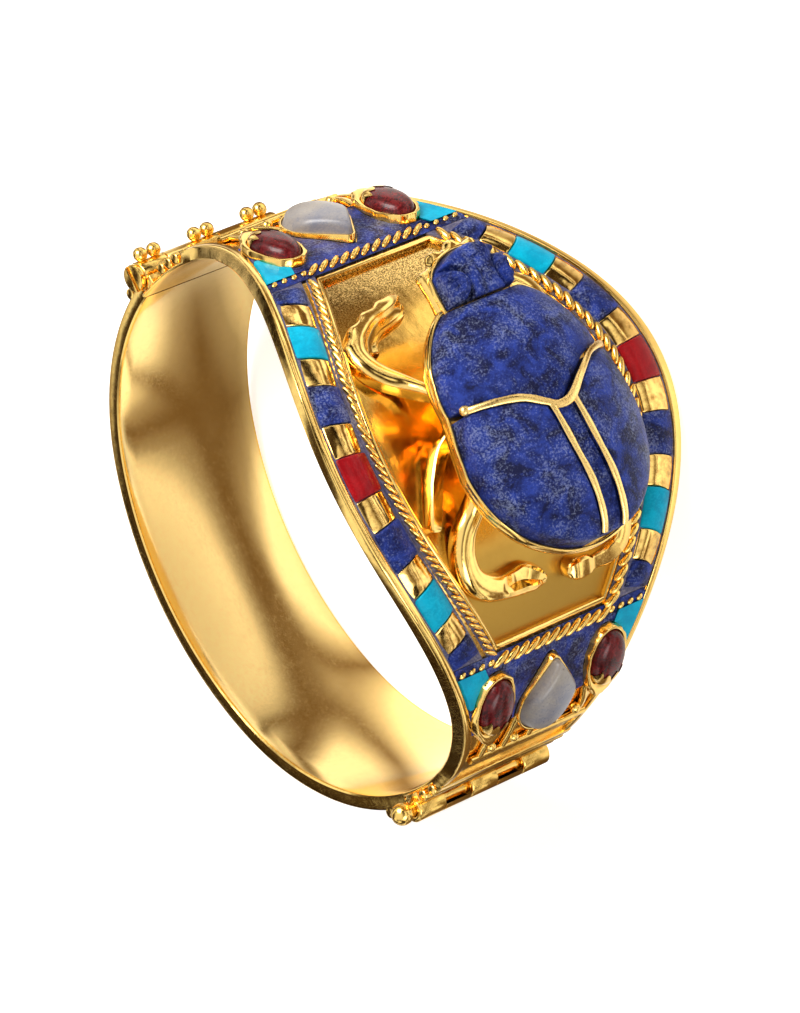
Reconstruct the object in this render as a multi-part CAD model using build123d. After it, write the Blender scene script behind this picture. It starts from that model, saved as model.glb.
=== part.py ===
from build123d import *

import math
import os

# A hinged oval bracelet with a raised beetle on its wide front half, lying on its side.
# It is modelled round the wrist's axis and laid down at the end:
# x points from the wrist out through the beetle, y from the clasp to the hinge,
# and z along the wrist towards the edge that ends up on top. All sizes are millimetres.

# Inside of the oval
inner_half_span = 28.0
front_inner_depth = 24.8
front_side_radius = 22.0
back_inner_depth = 25.3
back_side_radius = 24.5

# Widths along the wrist
band_half_width = 8.7
plate_half_width = 21.3
flare_power = 1.1

# Layers, as heights over the inside of the oval
liner_top = 0.45
panel_top = 0.5
plate_top = 1.0
lip_top = 1.35
frame_top = 1.35
back_wall = 1.3
back_rim_top = 1.55
back_rim_width = 0.9
knuckle_root_top = 1.3

# The plate's borders, measured inwards from its long edges
lip_width = 1.0
stone_outer_inset = 1.2
stone_inner_inset = 4.75
stone_length = 4.2
bar_length = 3.25
stone_gap = 0.08
stone_rise = 0.8
bar_rise = 0.7
stone_chamfer = 0.3
stones_each_way = 3
rope_inset = 5.5
rope_width = 1.0
rope_drift = 0.7
end_rope_y = 20.5
frame_gap = 0.1
frame_width = 0.45

# End panels beyond the end ropes; runs are measured along the plate from the rope
fit_gap = 0.03
ground_rise = 0.3
ground_run = 7.6
corner_rise = 0.45
corner_run = 3.4
corner_inner_inset = 4.4
bezel_wall = 0.4
bezel_rise = 1.3
drop_radius = 3.3
drop_tip_radius = 0.45
drop_tip_run = 1.3
drop_length = 8.6
drop_rise = 2.4
drop_fillet = 1.4
bud_half_length = 3.3
bud_half_width = 2.1
bud_run = 4.2
bud_z = 7.4
bud_rise = 2.2
bud_fillet = 1.1
stem_width = 0.9
stem_rise = 0.7
stem_zs = (0.0, 3.4, 6.4)
granule_radius = 0.55
granule_run = 10.6
cross_band_run = 12.1
end_strip_x = 2.6
end_strip_width = 0.9
end_strip_rise = 1.1

# Hinge and clasp
hinge_x = -5.7
hinge_y = 29.5
hinge_radius = 1.45
clasp_x = -2.9
clasp_y = -29.7
clasp_radius = 1.35
knuckle_count = 5
knuckle_gap = 0.12
swing_gap = 0.12
split_gap = 0.1
pin_radius = 0.7
pin_clearance = 0.05
cradle_gap = 0.2
pin_head_radius = 1.4
pin_head_height = 0.6
pin_head_slot = 0.45
pin_seat_gap = 0.05
clasp_knob_radius = 1.15
rod_radius = 0.6
rod_sink = 0.1
front_rod_xs_at_hinge = (1.1, -0.3, -1.7)
front_rod_xs_at_clasp = (1.4, -0.3)
back_rod_xs_at_hinge = (-8.2,)
back_rod_xs_at_clasp = (-5.1, -6.5)
bead_radius = 0.75
bead_lean = 65.0
bead_shares = (0.25, 0.75)

# The beetle. Heights are along x, lengths along y, widths along z.
beetle_base = 30.4
beetle_plate = 0.8
collet_wall = 0.35
collet_rise = 0.5
stone_clearance = 0.05
wing_radius = 10.4
wing_centre_y = -4.5
wing_front_y = 1.4
wing_front_half_width = 9.4
wing_side_bulge = 0.05
seam_bend_y = 0.8
seam_bend_z = 5.8
seam_middle_y = -1.9
wing_height = 6.2
wing_dome_half_width = 11.3
wing_dome_half_length = 14.0
wing_dome_y = -3.0
dome_sink = 0.3
strip_half_width = 1.36
strip_recess = 0.45
seam_width = 0.5
seam_proud = 0.15
seam_overrun = 2.0
chest_shoulder_y = 6.6
chest_shoulder_half_width = 8.6
waist_y = 10.6
waist_half_width = 4.9
neck_overlap = 1.0
chest_height = 5.5
chest_dome_half_width = 10.8
chest_dome_half_length = 13.4
chest_dome_y = -1.0
head_side_y = 14.2
head_half_width = 4.3
head_tip_y = 16.6
head_height = 3.2
head_dome_half_length = 6.4
head_dome_half_width = 5.2
head_dome_y = 12.2
snout_length = 0.8
tooth_radius = 0.9
tooth_count = 5
tooth_spread = 62.0
post_half_length = 6.0
post_half_width = 3.0
post_foot = 23.0

# The sunken panel between the frames, and the hips' height over it, just under the beetle
panel_half_length = end_rope_y - rope_width / 2 - frame_gap - frame_width
panel_half_width = plate_half_width - rope_inset - rope_width / 2 - frame_gap - frame_width
hip_overlap = 0.3
hip_height = beetle_base - beetle_plate - front_inner_depth - panel_top + hip_overlap

# The legs' radii, and their centre lines on the near side: y and z as shares of the panel's
# half length and half width, then the height over the panel
leg_clearance = 0.04
fore_leg_radius = 0.95
middle_leg_radius = 0.7
hind_leg_radius = 1.1
fore_tooth_radius = 0.65
fore_tooth_height = 0.95
fore_thigh = [(0.226, 0.475, hip_height), (0.355, 0.624, 1.9), (0.452, 0.719, 1.3), (0.56, 0.739, 1.1)]
fore_shin = [
    (0.56, 0.739, 1.1),
    (0.653, 0.617, 1.0),
    (0.694, 0.454, 1.0),
    (0.725, 0.278, 1.0),
    (0.72, 0.183, 1.0),
]
fore_teeth = [(0.622, 0.719), (0.694, 0.624), (0.74, 0.475), (0.766, 0.325)]
middle_leg = [(0.01, 0.57, hip_height), (-0.051, 0.698, 2.2), (-0.216, 0.773, 1.3), (-0.375, 0.827, 0.8)]
hind_leg = [
    (-0.334, 0.57, hip_height),
    (-0.473, 0.671, 2.4),
    (-0.581, 0.637, 1.6),
    (-0.679, 0.549, 1.3),
    (-0.776, 0.359, 1.3),
    (-0.782, 0.122, 1.4),
]

# Longer than anything on the bracelet, for prisms and boxes that only cut
reach = 60.0
# Deeper than any of the plate's relief is high
relief = 5.0
flare_stations = 14


def face_radius(depth, side_radius):
    """Radius of the long arc that joins two side arcs into a half oval."""
    span = inner_half_span
    return (depth ** 2 + span ** 2 - 2 * span * side_radius) / (2 * (depth - side_radius))


front_face_radius = face_radius(front_inner_depth, front_side_radius)
back_face_radius = face_radius(back_inner_depth, back_side_radius)
front_face_x = front_inner_depth - front_face_radius
back_face_x = back_face_radius - back_inner_depth
front_side_y = inner_half_span - front_side_radius
back_side_y = inner_half_span - back_side_radius
front_join = math.degrees(math.atan2(front_side_y, -front_face_x))
back_join = math.degrees(math.atan2(back_side_y, back_face_x))
plate_end_x = end_strip_x - end_strip_width / 2
flare_half_length = inner_half_span + plate_top / 2


def oval_face(height):
    """The area inside the oval that lies a given height outside the wrist hollow."""
    front_side = front_side_radius + height
    front_long = front_face_radius + height
    back_side = back_side_radius + height
    back_long = back_face_radius + height
    edges = [
        CenterArc((0, front_side_y), front_side, front_join, 90 - front_join),
        CenterArc((front_face_x, 0), front_long, -front_join, 2 * front_join),
        CenterArc((0, -front_side_y), front_side, -90, 90 - front_join),
        CenterArc((0, back_side_y), back_side, 90, 90 - back_join),
        CenterArc((back_face_x, 0), back_long, 180 - back_join, 2 * back_join),
        CenterArc((0, -back_side_y), back_side, 180 + back_join, 90 - back_join),
    ]
    return make_face(edges)


def shell(low, high):
    """The oval wall between two heights, taller than the bracelet is wide."""
    return extrude(oval_face(high) - oval_face(low), amount=reach, both=True)


def block(low_x, high_x, low_y, high_y, half_height=reach):
    """A box between four planes, even about z."""
    size = Box(high_x - low_x, high_y - low_y, 2 * half_height)
    return Pos((low_x + high_x) / 2, (low_y + high_y) / 2, 0) * size


def front_place(y, height):
    """Where the front's surface of a height has this y: its x, and its normal's angle."""
    long_radius = front_face_radius + height
    side_radius = front_side_radius + height
    join_y = long_radius * math.sin(math.radians(front_join))
    if abs(y) <= join_y:
        sine = y / long_radius
        return front_face_x + long_radius * math.sqrt(1 - sine ** 2), math.degrees(math.asin(sine))
    sine = (abs(y) - front_side_y) / side_radius
    return side_radius * math.sqrt(1 - sine ** 2), math.copysign(math.degrees(math.asin(sine)), y)


def run_place(run):
    """The point of the plate's surface a given run beyond the head rope: x, y and angle."""
    _, start = front_place(end_rope_y + rope_width / 2, plate_top)
    long_radius = front_face_radius + plate_top
    long_run = math.radians(max(0.0, front_join - start)) * long_radius
    if run < long_run:
        angle = start + math.degrees(run / long_radius)
        turn = math.radians(angle)
        return front_face_x + long_radius * math.cos(turn), long_radius * math.sin(turn), angle
    side_radius = front_side_radius + plate_top
    angle = max(start, front_join) + math.degrees((run - long_run) / side_radius)
    turn = math.radians(angle)
    return side_radius * math.cos(turn), front_side_y + side_radius * math.sin(turn), angle


def run_plane(run, z):
    """A plane on the head end's surface, with its x along the run and its y along z."""
    x, y, angle = run_place(run)
    turn = math.radians(angle)
    outward = (math.cos(turn), math.sin(turn), 0)
    along = (-math.sin(turn), math.cos(turn), 0)
    return Plane(origin=(x, y, z), x_dir=along, z_dir=outward)


def side_y(x, height):
    """The y of the oval's surface of a height near its two ends."""
    if x >= 0:
        return front_side_y + math.sqrt((front_side_radius + height) ** 2 - x ** 2)
    return back_side_y + math.sqrt((back_side_radius + height) ** 2 - x ** 2)


def flare(y):
    """Half the plate's width: wide at the beetle, as narrow as the band at both ends."""
    share = min(1.0, abs(y) / flare_half_length)
    swell = math.cos(math.pi / 2 * share) ** flare_power
    return band_half_width + (plate_half_width - band_half_width) * swell


def rope_line(y):
    """How far inside the plate's edge the long rope runs: further in towards the ends."""
    return rope_inset + rope_drift * (y / end_rope_y) ** 2


def along_x(face, start=0.0, amount=reach):
    """A prism that runs outwards from a face drawn in y and z."""
    return extrude(Plane.YZ.offset(start) * face, amount=amount)


def flare_prism(inset, half_length=reach):
    """The plate's outline, drawn in from its long edges by inset(y), as a prism."""
    stations = [flare_half_length * (2 * k / flare_stations - 1) for k in range(flare_stations + 1)]
    top = [(y, flare(y) - inset(y)) for y in stations]
    end = (reach, top[-1][1])
    start = (-reach, top[0][1])
    edges = []
    for sign in (1, -1):
        edges.append(Spline(*[(y, sign * z) for y, z in top]))
        edges.append(Line((top[-1][0], sign * top[-1][1]), (end[0], sign * end[1])))
        edges.append(Line((start[0], sign * start[1]), (top[0][0], sign * top[0][1])))
    edges.append(Line(end, (end[0], -end[1])))
    edges.append(Line(start, (start[0], -start[1])))
    return along_x(make_face(edges)) & block(0, reach, -half_length, half_length)


def far_side(solid):
    """The same piece on the far side, mirrored through the bracelet's middle plane."""
    return mirror(solid, about=Plane.XY)


def tail_side(solid):
    """The same piece at the clasp end, mirrored through the beetle's crosswise plane."""
    return mirror(solid, about=Plane.XZ)


# The two halves' hinge and clasp


def knuckle_span(index, trim):
    """The low and high z of one knuckle's place, trimmed where it has a neighbour."""
    pitch = 2 * band_half_width / knuckle_count
    low = -band_half_width + index * pitch + (trim if index > 0 else 0)
    high = -band_half_width + (index + 1) * pitch - (trim if index < knuckle_count - 1 else 0)
    return low, high


def tubes(x, y, radius, places, trim):
    """Solid barrels round a pin's axis at the given places."""
    barrels = []
    for index in places:
        low, high = knuckle_span(index, trim)
        barrels.append(Pos(x, y, (low + high) / 2) * Cylinder(radius, high - low))
    return barrels


front_places = [index for index in range(knuckle_count) if index % 2 == 0]
back_places = [index for index in range(knuckle_count) if index % 2 == 1]
joints = ((hinge_x, hinge_y, hinge_radius), (clasp_x, clasp_y, clasp_radius))


def with_knuckles(body, own_places, other_places):
    """A half with its own knuckles added, and room made for the other half's."""
    for x, y, radius in joints:
        for room in tubes(x, y, radius + swing_gap, other_places, -knuckle_gap / 2):
            body -= room
        for barrel in tubes(x, y, radius, own_places, knuckle_gap / 2):
            body += barrel
        body -= Pos(x, y, 0) * Cylinder(pin_radius + pin_clearance, 3 * band_half_width)
    return body


def rods(xs, sign, base_height):
    """Round rods along the wrist, sunk a little into the surface that carries them."""
    height = base_height + rod_radius - rod_sink
    return [Pos(x, sign * side_y(x, height), 0) * Cylinder(rod_radius, 2 * band_half_width) for x in xs]


def front_end(sign, split_x, barrel_radius, rod_xs):
    """One end of the front beyond the plate: liner, straight strip, rods and the knuckles' root."""
    low_y, high_y = sorted((0, sign * reach))
    start_x = split_x + split_gap
    liner = block(start_x, end_strip_x, low_y, high_y, band_half_width)
    strip = block(plate_end_x, end_strip_x + end_strip_width / 2, low_y, high_y, band_half_width)
    root = block(start_x, split_x + barrel_radius + rod_radius, low_y, high_y, band_half_width)
    end = shell(0, liner_top) & liner
    end += shell(0, plate_top + end_strip_rise) & strip
    end += shell(0, knuckle_root_top) & root
    return end + rods(rod_xs, sign, liner_top)


def front_shell():
    """Plate, lips, panel frame, end strips, rods and the front's knuckles, soldered into one."""
    whole = flare_prism(lambda y: 0.0)
    inside_lip = flare_prism(lambda y: lip_width)
    frame_inset = rope_width / 2 + frame_gap
    frame_outside = flare_prism(lambda y: rope_line(y) + frame_inset, panel_half_length + frame_width)
    panel = flare_prism(lambda y: rope_line(y) + frame_inset + frame_width, panel_half_length)
    body = shell(0, plate_top) & whole
    body += shell(0, lip_top) & (whole - inside_lip)
    body += shell(0, frame_top) & frame_outside
    body -= shell(panel_top, relief) & panel
    body -= block(-reach, plate_end_x, -reach, reach)
    body += front_end(1, hinge_x, hinge_radius, front_rod_xs_at_hinge)
    body += front_end(-1, clasp_x, clasp_radius, front_rod_xs_at_clasp)
    return with_knuckles(body, front_places, back_places) + hinge_beads()


def hinge_beads():
    """Two beads on each of the front's hinge knuckles."""
    lean = math.radians(bead_lean)
    distance = hinge_radius + bead_radius - rod_sink
    x = hinge_x + distance * math.cos(lean)
    y = hinge_y + distance * math.sin(lean)
    beads = []
    for index in front_places:
        low, high = knuckle_span(index, knuckle_gap / 2)
        for share in bead_shares:
            beads.append(Pos(x, y, low + share * (high - low)) * Sphere(bead_radius))
    return beads


def back_shell():
    """The plain band with raised rims, its rods and knuckles; its clasp knuckles open outwards."""
    body = shell(0, back_wall) & Box(4 * reach, 4 * reach, 2 * band_half_width)
    rims = shell(0, back_rim_top) & Box(4 * reach, 4 * reach, 2 * band_half_width)
    rims -= Box(4 * reach, 4 * reach, 2 * (band_half_width - back_rim_width))
    body += rims
    body += rods(back_rod_xs_at_hinge, 1, back_wall)
    body += rods(back_rod_xs_at_clasp, -1, back_wall)
    body -= block(hinge_x - split_gap, reach, 0, reach)
    body -= block(clasp_x - split_gap, reach, -reach, 0)
    body = with_knuckles(body, back_places, front_places)
    mouth = pin_radius + pin_clearance + cradle_gap
    return body - block(clasp_x, reach, clasp_y - mouth, clasp_y + mouth)


def hinge_pin():
    """The hinge pin, with a slotted round head at both ends."""
    length = 2 * (band_half_width + pin_seat_gap)
    head_z = band_half_width + pin_seat_gap + pin_head_height / 2
    pin = Cylinder(pin_radius, length)
    for sign in (1, -1):
        head = Pos(0, 0, sign * head_z) * Cylinder(pin_head_radius, pin_head_height)
        slot_size = Box(pin_head_slot, 4 * pin_head_radius, pin_head_height)
        slot = Pos(0, 0, sign * (head_z + pin_head_height / 4)) * slot_size
        pin += head - slot
    return Pos(hinge_x, hinge_y, 0) * pin


def clasp_pin():
    """The clasp pin, with a round knob on top."""
    top = band_half_width + pin_seat_gap + clasp_knob_radius
    pin = Pos(0, 0, (top - band_half_width) / 2) * Cylinder(pin_radius, top + band_half_width)
    knob = Pos(0, 0, top) * Sphere(clasp_knob_radius)
    return Pos(clasp_x, clasp_y, 0) * (pin + knob)


# The front's borders


def border_point(y, inset):
    """A point of a border line, carried square across the border from its middle at y."""
    _, angle = front_place(y, plate_top)
    step = 0.01
    slope = (flare(y + step) - flare(y - step)) / (2 * step)
    lean = -math.cos(math.radians(angle)) ** 2 * slope
    middle = (stone_outer_inset + stone_inner_inset) / 2
    shifted = y + lean * (middle - inset)
    return shifted, flare(shifted) - inset


def border_cuts():
    """The y of each cut between stones and bars, from the middle outwards."""
    goal = stone_length / 2
    goals = [goal]
    for _ in range(stones_each_way):
        goals += [goal + bar_length, goal + bar_length + stone_length]
        goal = goals[-1]
    cuts = []
    run = 0.0
    y = 0.0
    step = 0.02
    for goal in goals:
        while run < goal:
            x0, _ = front_place(y, plate_top)
            x1, _ = front_place(y + step, plate_top)
            run += math.dist((x0, y, flare(y)), (x1, y + step, flare(y + step)))
            y += step
        cuts.append(y)
    cuts[-1] = end_rope_y - rope_width / 2
    return cuts


def border_block(start, end, rise):
    """One block of the near border between two cuts, its long top edges taken down."""
    middle_y = (start + end) / 2
    low = [border_point(y, stone_inner_inset) for y in (start, middle_y, end)]
    high = [border_point(y, stone_outer_inset) for y in (start, middle_y, end)]
    edges = [
        ThreePointArc(low[0], low[1], low[2]),
        Line(low[2], high[2]),
        ThreePointArc(high[2], high[1], high[0]),
        Line(high[0], low[0]),
    ]
    solid = along_x(make_face(edges)) & shell(plate_top, plate_top + rise)
    _, angle = front_place(middle_y, plate_top + rise)
    turn = math.radians(angle)
    outward = Vector(math.cos(turn), math.sin(turn), 0)
    top = max(solid.faces(), key=lambda face: face.center().dot(outward))
    crosswise = top.edges().sort_by(Axis.Z)
    solid = chamfer(ShapeList([crosswise[0], crosswise[-1]]), stone_chamfer)
    rope_edge = end_rope_y - rope_width / 2 - fit_gap
    return solid & block(0, reach, -rope_edge, rope_edge)


def border_pieces():
    """The near border's stones and gold bars, by place."""
    cuts = border_cuts()
    gap = stone_gap / 2
    stones = {"middle": border_block(gap - cuts[0], cuts[0] - gap, stone_rise)}
    bars = {}
    for k in range(stones_each_way):
        bar = border_block(cuts[2 * k] + gap, cuts[2 * k + 1] - gap, bar_rise)
        stone = border_block(cuts[2 * k + 1] + gap, cuts[2 * k + 2] - gap, stone_rise)
        bars["head_%d" % (k + 1)] = bar
        bars["tail_%d" % (k + 1)] = tail_side(bar)
        stones["head_%d" % (k + 1)] = stone
        stones["tail_%d" % (k + 1)] = tail_side(stone)
    return stones, bars


def long_rope():
    """The near rope, from one end rope to the other."""
    half_length = end_rope_y - rope_width / 2 - fit_gap
    outer = flare_prism(lambda y: rope_line(y) - rope_width / 2, half_length)
    inner = flare_prism(lambda y: rope_line(y) + rope_width / 2)
    upper = Pos(0, 0, reach / 2) * Box(4 * reach, 4 * reach, reach)
    return (outer - inner) & shell(plate_top, plate_top + rope_width) & upper


def inside_lips():
    """The prism that clears the insides of both lips."""
    return flare_prism(lambda y: lip_width + fit_gap)


def end_rope():
    """The head rope, across the plate between its lips."""
    across = block(0, reach, end_rope_y - rope_width / 2, end_rope_y + rope_width / 2)
    return across & inside_lips() & shell(plate_top, plate_top + rope_width)


# The end panels, made for the head end


def upright(plane, face, low, high):
    """A prism square to a plane on the panel, between two heights."""
    return extrude(plane.offset(low) * face, amount=high - low)


def drop_face(grow):
    """The drop's outline: a round end and a narrow one that points at the rope, joined by tangents."""
    big = drop_radius + grow
    small = drop_tip_radius + grow
    round_x = drop_length / 2 - drop_radius
    tip_x = drop_tip_radius - drop_length / 2
    lean = (small - big) / (round_x - tip_x)
    rise = math.sqrt(1 - lean ** 2)
    round_end = (round_x + big * lean, big * rise)
    tip_end = (tip_x + small * lean, small * rise)
    edges = [
        ThreePointArc((round_end[0], -round_end[1]), (round_x + big, 0), round_end),
        Line(round_end, tip_end),
        ThreePointArc(tip_end, (tip_x - small, 0), (tip_end[0], -tip_end[1])),
        Line((tip_end[0], -tip_end[1]), (round_end[0], -round_end[1])),
    ]
    return make_face(edges)


def bud_face(grow):
    """The bud's outline, grown or shrunk by a margin."""
    return Ellipse(bud_half_length + grow, bud_half_width + grow)


def drop_plane():
    return run_plane(drop_tip_run + drop_length / 2, 0)


def bud_plane():
    return run_plane(bud_run, bud_z)


def domed(solid, plane, rise, radius):
    """A stone with its upper edge rounded."""
    top = solid.faces().sort_by(Axis(plane.origin, plane.z_dir))[-1]
    return fillet(top.edges(), radius)


def drop_stone():
    plane = drop_plane()
    stone = upright(plane, drop_face(-fit_gap), fit_gap, drop_rise)
    return domed(stone, plane, drop_rise, drop_fillet)


def bud_stone():
    plane = bud_plane()
    stone = upright(plane, bud_face(-fit_gap), fit_gap, bud_rise)
    return domed(stone, plane, bud_rise, bud_fillet)


def beyond_run(run):
    """Everything nearer the hinge than a run, square to the plate there."""
    return run_plane(run, 0).location * (Pos(reach / 2, 0, 0) * Box(reach, 4 * reach, reach))


def near_drop(grow):
    """The drop's place, widened by grow, from below the plate's surface to above the stone."""
    return upright(drop_plane(), drop_face(grow), -relief, relief)


def near_bud(grow):
    """The near bud's place, widened by grow, from below the plate's surface to above the stone."""
    return upright(bud_plane(), bud_face(grow), -relief, relief)


def bezel_places():
    """What the three bezels take from anything beside them."""
    bud = near_bud(bezel_wall + fit_gap)
    return [near_drop(bezel_wall + fit_gap), bud, far_side(bud)]


def on_plate(zone, rise):
    """The part of a zone that stands on the plate, up to a rise above it."""
    return zone & shell(plate_top + fit_gap / 2, plate_top + rise)


def end_setting():
    """The three bezels, their stems and the grains between them, soldered into one."""
    bud_hole = near_bud(0)
    bud_ring = on_plate(near_bud(bezel_wall), bezel_rise) - bud_hole
    holes = near_drop(0) + bud_hole + far_side(bud_hole)
    last_x = end_strip_x + end_strip_width / 2 + fit_gap
    zone = beyond_run(ground_run + fit_gap) & block(last_x, reach, 0, reach)
    setting = on_plate(near_drop(bezel_wall), bezel_rise) - near_drop(0)
    setting += bud_ring
    setting += far_side(bud_ring)
    for z in stem_zs:
        low, high = z - stem_width / 2, z + stem_width / 2
        stem = on_plate(zone & z_band(low, high), stem_rise) - holes
        setting += stem
        if z > 0:
            grain = Pos(0, 0, stem_rise / 2) * Sphere(granule_radius)
            grain = run_plane(granule_run, low - granule_radius / 2).location * grain
            grain = on_plate(grain, relief)
            setting += [far_side(stem), grain, far_side(grain)]
    x, _, _ = run_place(cross_band_run)
    half_width = band_half_width - lip_width - fit_gap
    band = block(x - stem_width / 2, x + stem_width / 2, 0, reach, half_width)
    return setting + on_plate(band, stem_rise)


def corner_stone():
    """The small flat stone between the end rope, the lip and the near bud."""
    x, _, _ = run_place(corner_run)
    zone = inside_lips() - flare_prism(lambda y: corner_inner_inset)
    zone &= block(x, reach, end_rope_y + rope_width / 2 + fit_gap, reach)
    zone &= Pos(0, 0, reach / 2) * Box(4 * reach, 4 * reach, reach)
    stone = on_plate(zone, corner_rise)
    for place in bezel_places():
        stone -= place
    return max(stone.solids(), key=lambda solid: solid.volume)


def end_ground():
    """The flat stone ground round the bezels, in as many pieces as they leave."""
    zone = inside_lips() & block(0, reach, end_rope_y + rope_width / 2 + fit_gap, reach)
    zone -= beyond_run(ground_run)
    ground = on_plate(zone, ground_rise)
    for place in bezel_places():
        ground -= place
    x, _, _ = run_place(corner_run)
    margin = inside_lips() - flare_prism(lambda y: corner_inner_inset + fit_gap)
    ground -= margin & block(x - fit_gap, reach, 0, reach)
    return ground


# The beetle


def seam_points(shift):
    """The crosswise seam between chest and wings, from one side to the other."""
    half = [(wing_front_y, wing_front_half_width + seam_overrun), (wing_front_y, wing_front_half_width)]
    half += [(seam_bend_y, seam_bend_z), (seam_middle_y, 0)]
    other = [(y, -z) for y, z in reversed(half[:-1])]
    return [(y + shift, z) for y, z in half + other]


def wing_outline(grow):
    """Both wing cases and the strip between them, up to the seam's outer ends."""
    radius = wing_radius + grow
    front = wing_front_half_width + grow
    middle_y = (wing_front_y + wing_centre_y) / 2
    bend = (front + radius) / 2 + wing_side_bulge
    edges = [
        ThreePointArc((wing_front_y, front), (middle_y, bend), (wing_centre_y, radius)),
        CenterArc((wing_centre_y, 0), radius, 90, 180),
        ThreePointArc((wing_centre_y, -radius), (middle_y, -bend), (wing_front_y, -front)),
        Line((wing_front_y, -front), (wing_front_y, front)),
    ]
    return make_face(edges)


def chest_outline(grow):
    """The chest from under the seam to the waist, in front of the wings."""
    front = wing_front_half_width + grow
    shoulder = chest_shoulder_half_width + grow
    waist = waist_half_width + grow
    low = seam_middle_y
    edges = [
        Line((low, -front), (wing_front_y, -front)),
        ThreePointArc((wing_front_y, -front), (chest_shoulder_y, -shoulder), (waist_y, -waist)),
        Line((waist_y, -waist), (waist_y, waist)),
        ThreePointArc((waist_y, waist), (chest_shoulder_y, shoulder), (wing_front_y, front)),
        Line((wing_front_y, front), (low, front)),
        Line((low, front), (low, -front)),
    ]
    return make_face(edges)


def head_outline(grow, start):
    """The head from a start near the waist to its rounded front."""
    side = head_half_width + grow
    tip = head_tip_y + grow
    edges = [
        Line((start, -side), (head_side_y, -side)),
        ThreePointArc((head_side_y, -side), (tip, 0), (head_side_y, side)),
        Line((head_side_y, side), (start, side)),
        Line((start, side), (start, -side)),
    ]
    return make_face(edges)


def behind_seam(shift):
    """The half plane on the wings' side of the crosswise seam."""
    points = seam_points(shift)
    wide = 2 * wing_radius
    corners = [(-reach, -wide), (-reach, wide), (points[0][0], wide)] + points + [(points[-1][0], -wide)]
    return make_face(Polyline(*corners, close=True))


def dome(height, half_length, half_width, y, grow=0.0):
    """An egg-shaped solid whose upper half is a stone's top."""
    centre = beetle_base - dome_sink
    size = (height + dome_sink + grow, half_length + grow, half_width + grow)
    return Pos(centre, y, 0) * scale(Sphere(1), by=size)


def wing_dome(grow=0.0):
    return dome(wing_height, wing_dome_half_length, wing_dome_half_width, wing_dome_y, grow)


def chest_dome():
    return dome(chest_height, chest_dome_half_length, chest_dome_half_width, chest_dome_y)


def head_dome():
    return dome(head_height, head_dome_half_length, head_dome_half_width, head_dome_y)


def z_band(low, high):
    """Everything between two levels of z."""
    return Pos(0, 0, (low + high) / 2) * Box(4 * reach, 4 * reach, high - low)


def beetle_stones():
    """Head, chest, two wing cases and the strip between them."""
    floor = beetle_base + stone_clearance
    edge = -stone_clearance
    half_seam = seam_width / 2 + stone_clearance
    wings = along_x(wing_outline(edge) & behind_seam(-half_seam), floor) & wing_dome()
    near_wing = wings & z_band(strip_half_width + half_seam, reach)
    strip_side = strip_half_width - half_seam
    strip = wings & z_band(-strip_side, strip_side) & wing_dome(-strip_recess)
    chest = along_x(chest_outline(edge) - behind_seam(half_seam), floor) & chest_dome()
    head = along_x(head_outline(edge, waist_y + 2 * stone_clearance), floor) & head_dome()
    return {
        "scarab_head": head,
        "scarab_chest": chest,
        "near_wing_case": near_wing,
        "far_wing_case": far_side(near_wing),
        "wing_strip": strip,
    }


def beetle_setting():
    """The beetle's gold back plate, collet, seams, toothed snout and hidden post."""
    bottom = beetle_base - beetle_plate
    grow = collet_wall
    body = along_x(wing_outline(grow), bottom, beetle_plate)
    body += along_x(chest_outline(grow), bottom, beetle_plate)
    neck_y = waist_y - neck_overlap
    body += along_x(head_outline(grow + snout_length, neck_y), bottom, beetle_plate)
    rim = along_x(wing_outline(grow) - wing_outline(0), bottom, beetle_plate + collet_rise)
    rim &= along_x(behind_seam(0), bottom)
    body += rim
    rim = along_x(chest_outline(grow) - chest_outline(0), bottom, beetle_plate + collet_rise)
    rim -= along_x(behind_seam(0), bottom)
    rim -= block(0, reach, waist_y - stone_clearance, reach, waist_half_width)
    body += rim
    head_ring = head_outline(grow, waist_y) - head_outline(0, neck_y)
    body += along_x(head_ring, bottom, beetle_plate + collet_rise)
    for k in range(tooth_count):
        angle = math.radians(tooth_spread * (2 * k / (tooth_count - 1) - 1))
        radius = head_half_width + snout_length
        y = head_tip_y - head_half_width + radius * math.cos(angle) + tooth_radius / 2
        centre = Pos(y, radius * math.sin(angle)) * Circle(tooth_radius)
        body += along_x(centre, bottom, beetle_plate) - along_x(head_outline(0, waist_y), bottom)
    half_seam = seam_width / 2
    seams = along_x(wing_outline(0) & behind_seam(-half_seam), beetle_base) & wing_dome(seam_proud)
    for sign in (1, -1):
        middle = sign * strip_half_width
        body += seams & z_band(middle - half_seam, middle + half_seam)
    cross = behind_seam(half_seam) - behind_seam(-half_seam)
    body += along_x(cross & wing_outline(0), beetle_base) & wing_dome(seam_proud)
    body += along_x(cross & chest_outline(0), beetle_base) & wing_dome(seam_proud)
    post_face = Rectangle(2 * post_half_length, 2 * post_half_width)
    post = along_x(post_face, post_foot, bottom + fit_gap - post_foot)
    return body + (post & shell(panel_top + fit_gap, beetle_base))


# The legs


def panel_point(length_share, width_share, height):
    """The point a height over the sunken panel, at shares of its half length and half width."""
    y = length_share * panel_half_length
    x, _ = front_place(y, panel_top)
    return (x + height, y, width_share * panel_half_width)


def bent_rod(points, radius):
    """A round rod through points over the panel, with ball corners and ends."""
    places = [panel_point(*point) for point in points]
    rods = Pos(*places[0]) * Sphere(radius)
    for start, end in zip(places, places[1:]):
        direction = Vector(*end) - Vector(*start)
        plane = Plane(origin=start, z_dir=direction)
        rods += plane.location * (Pos(0, 0, direction.length / 2) * Cylinder(radius, direction.length))
        rods += Pos(*end) * Sphere(radius)
    return rods


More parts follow.
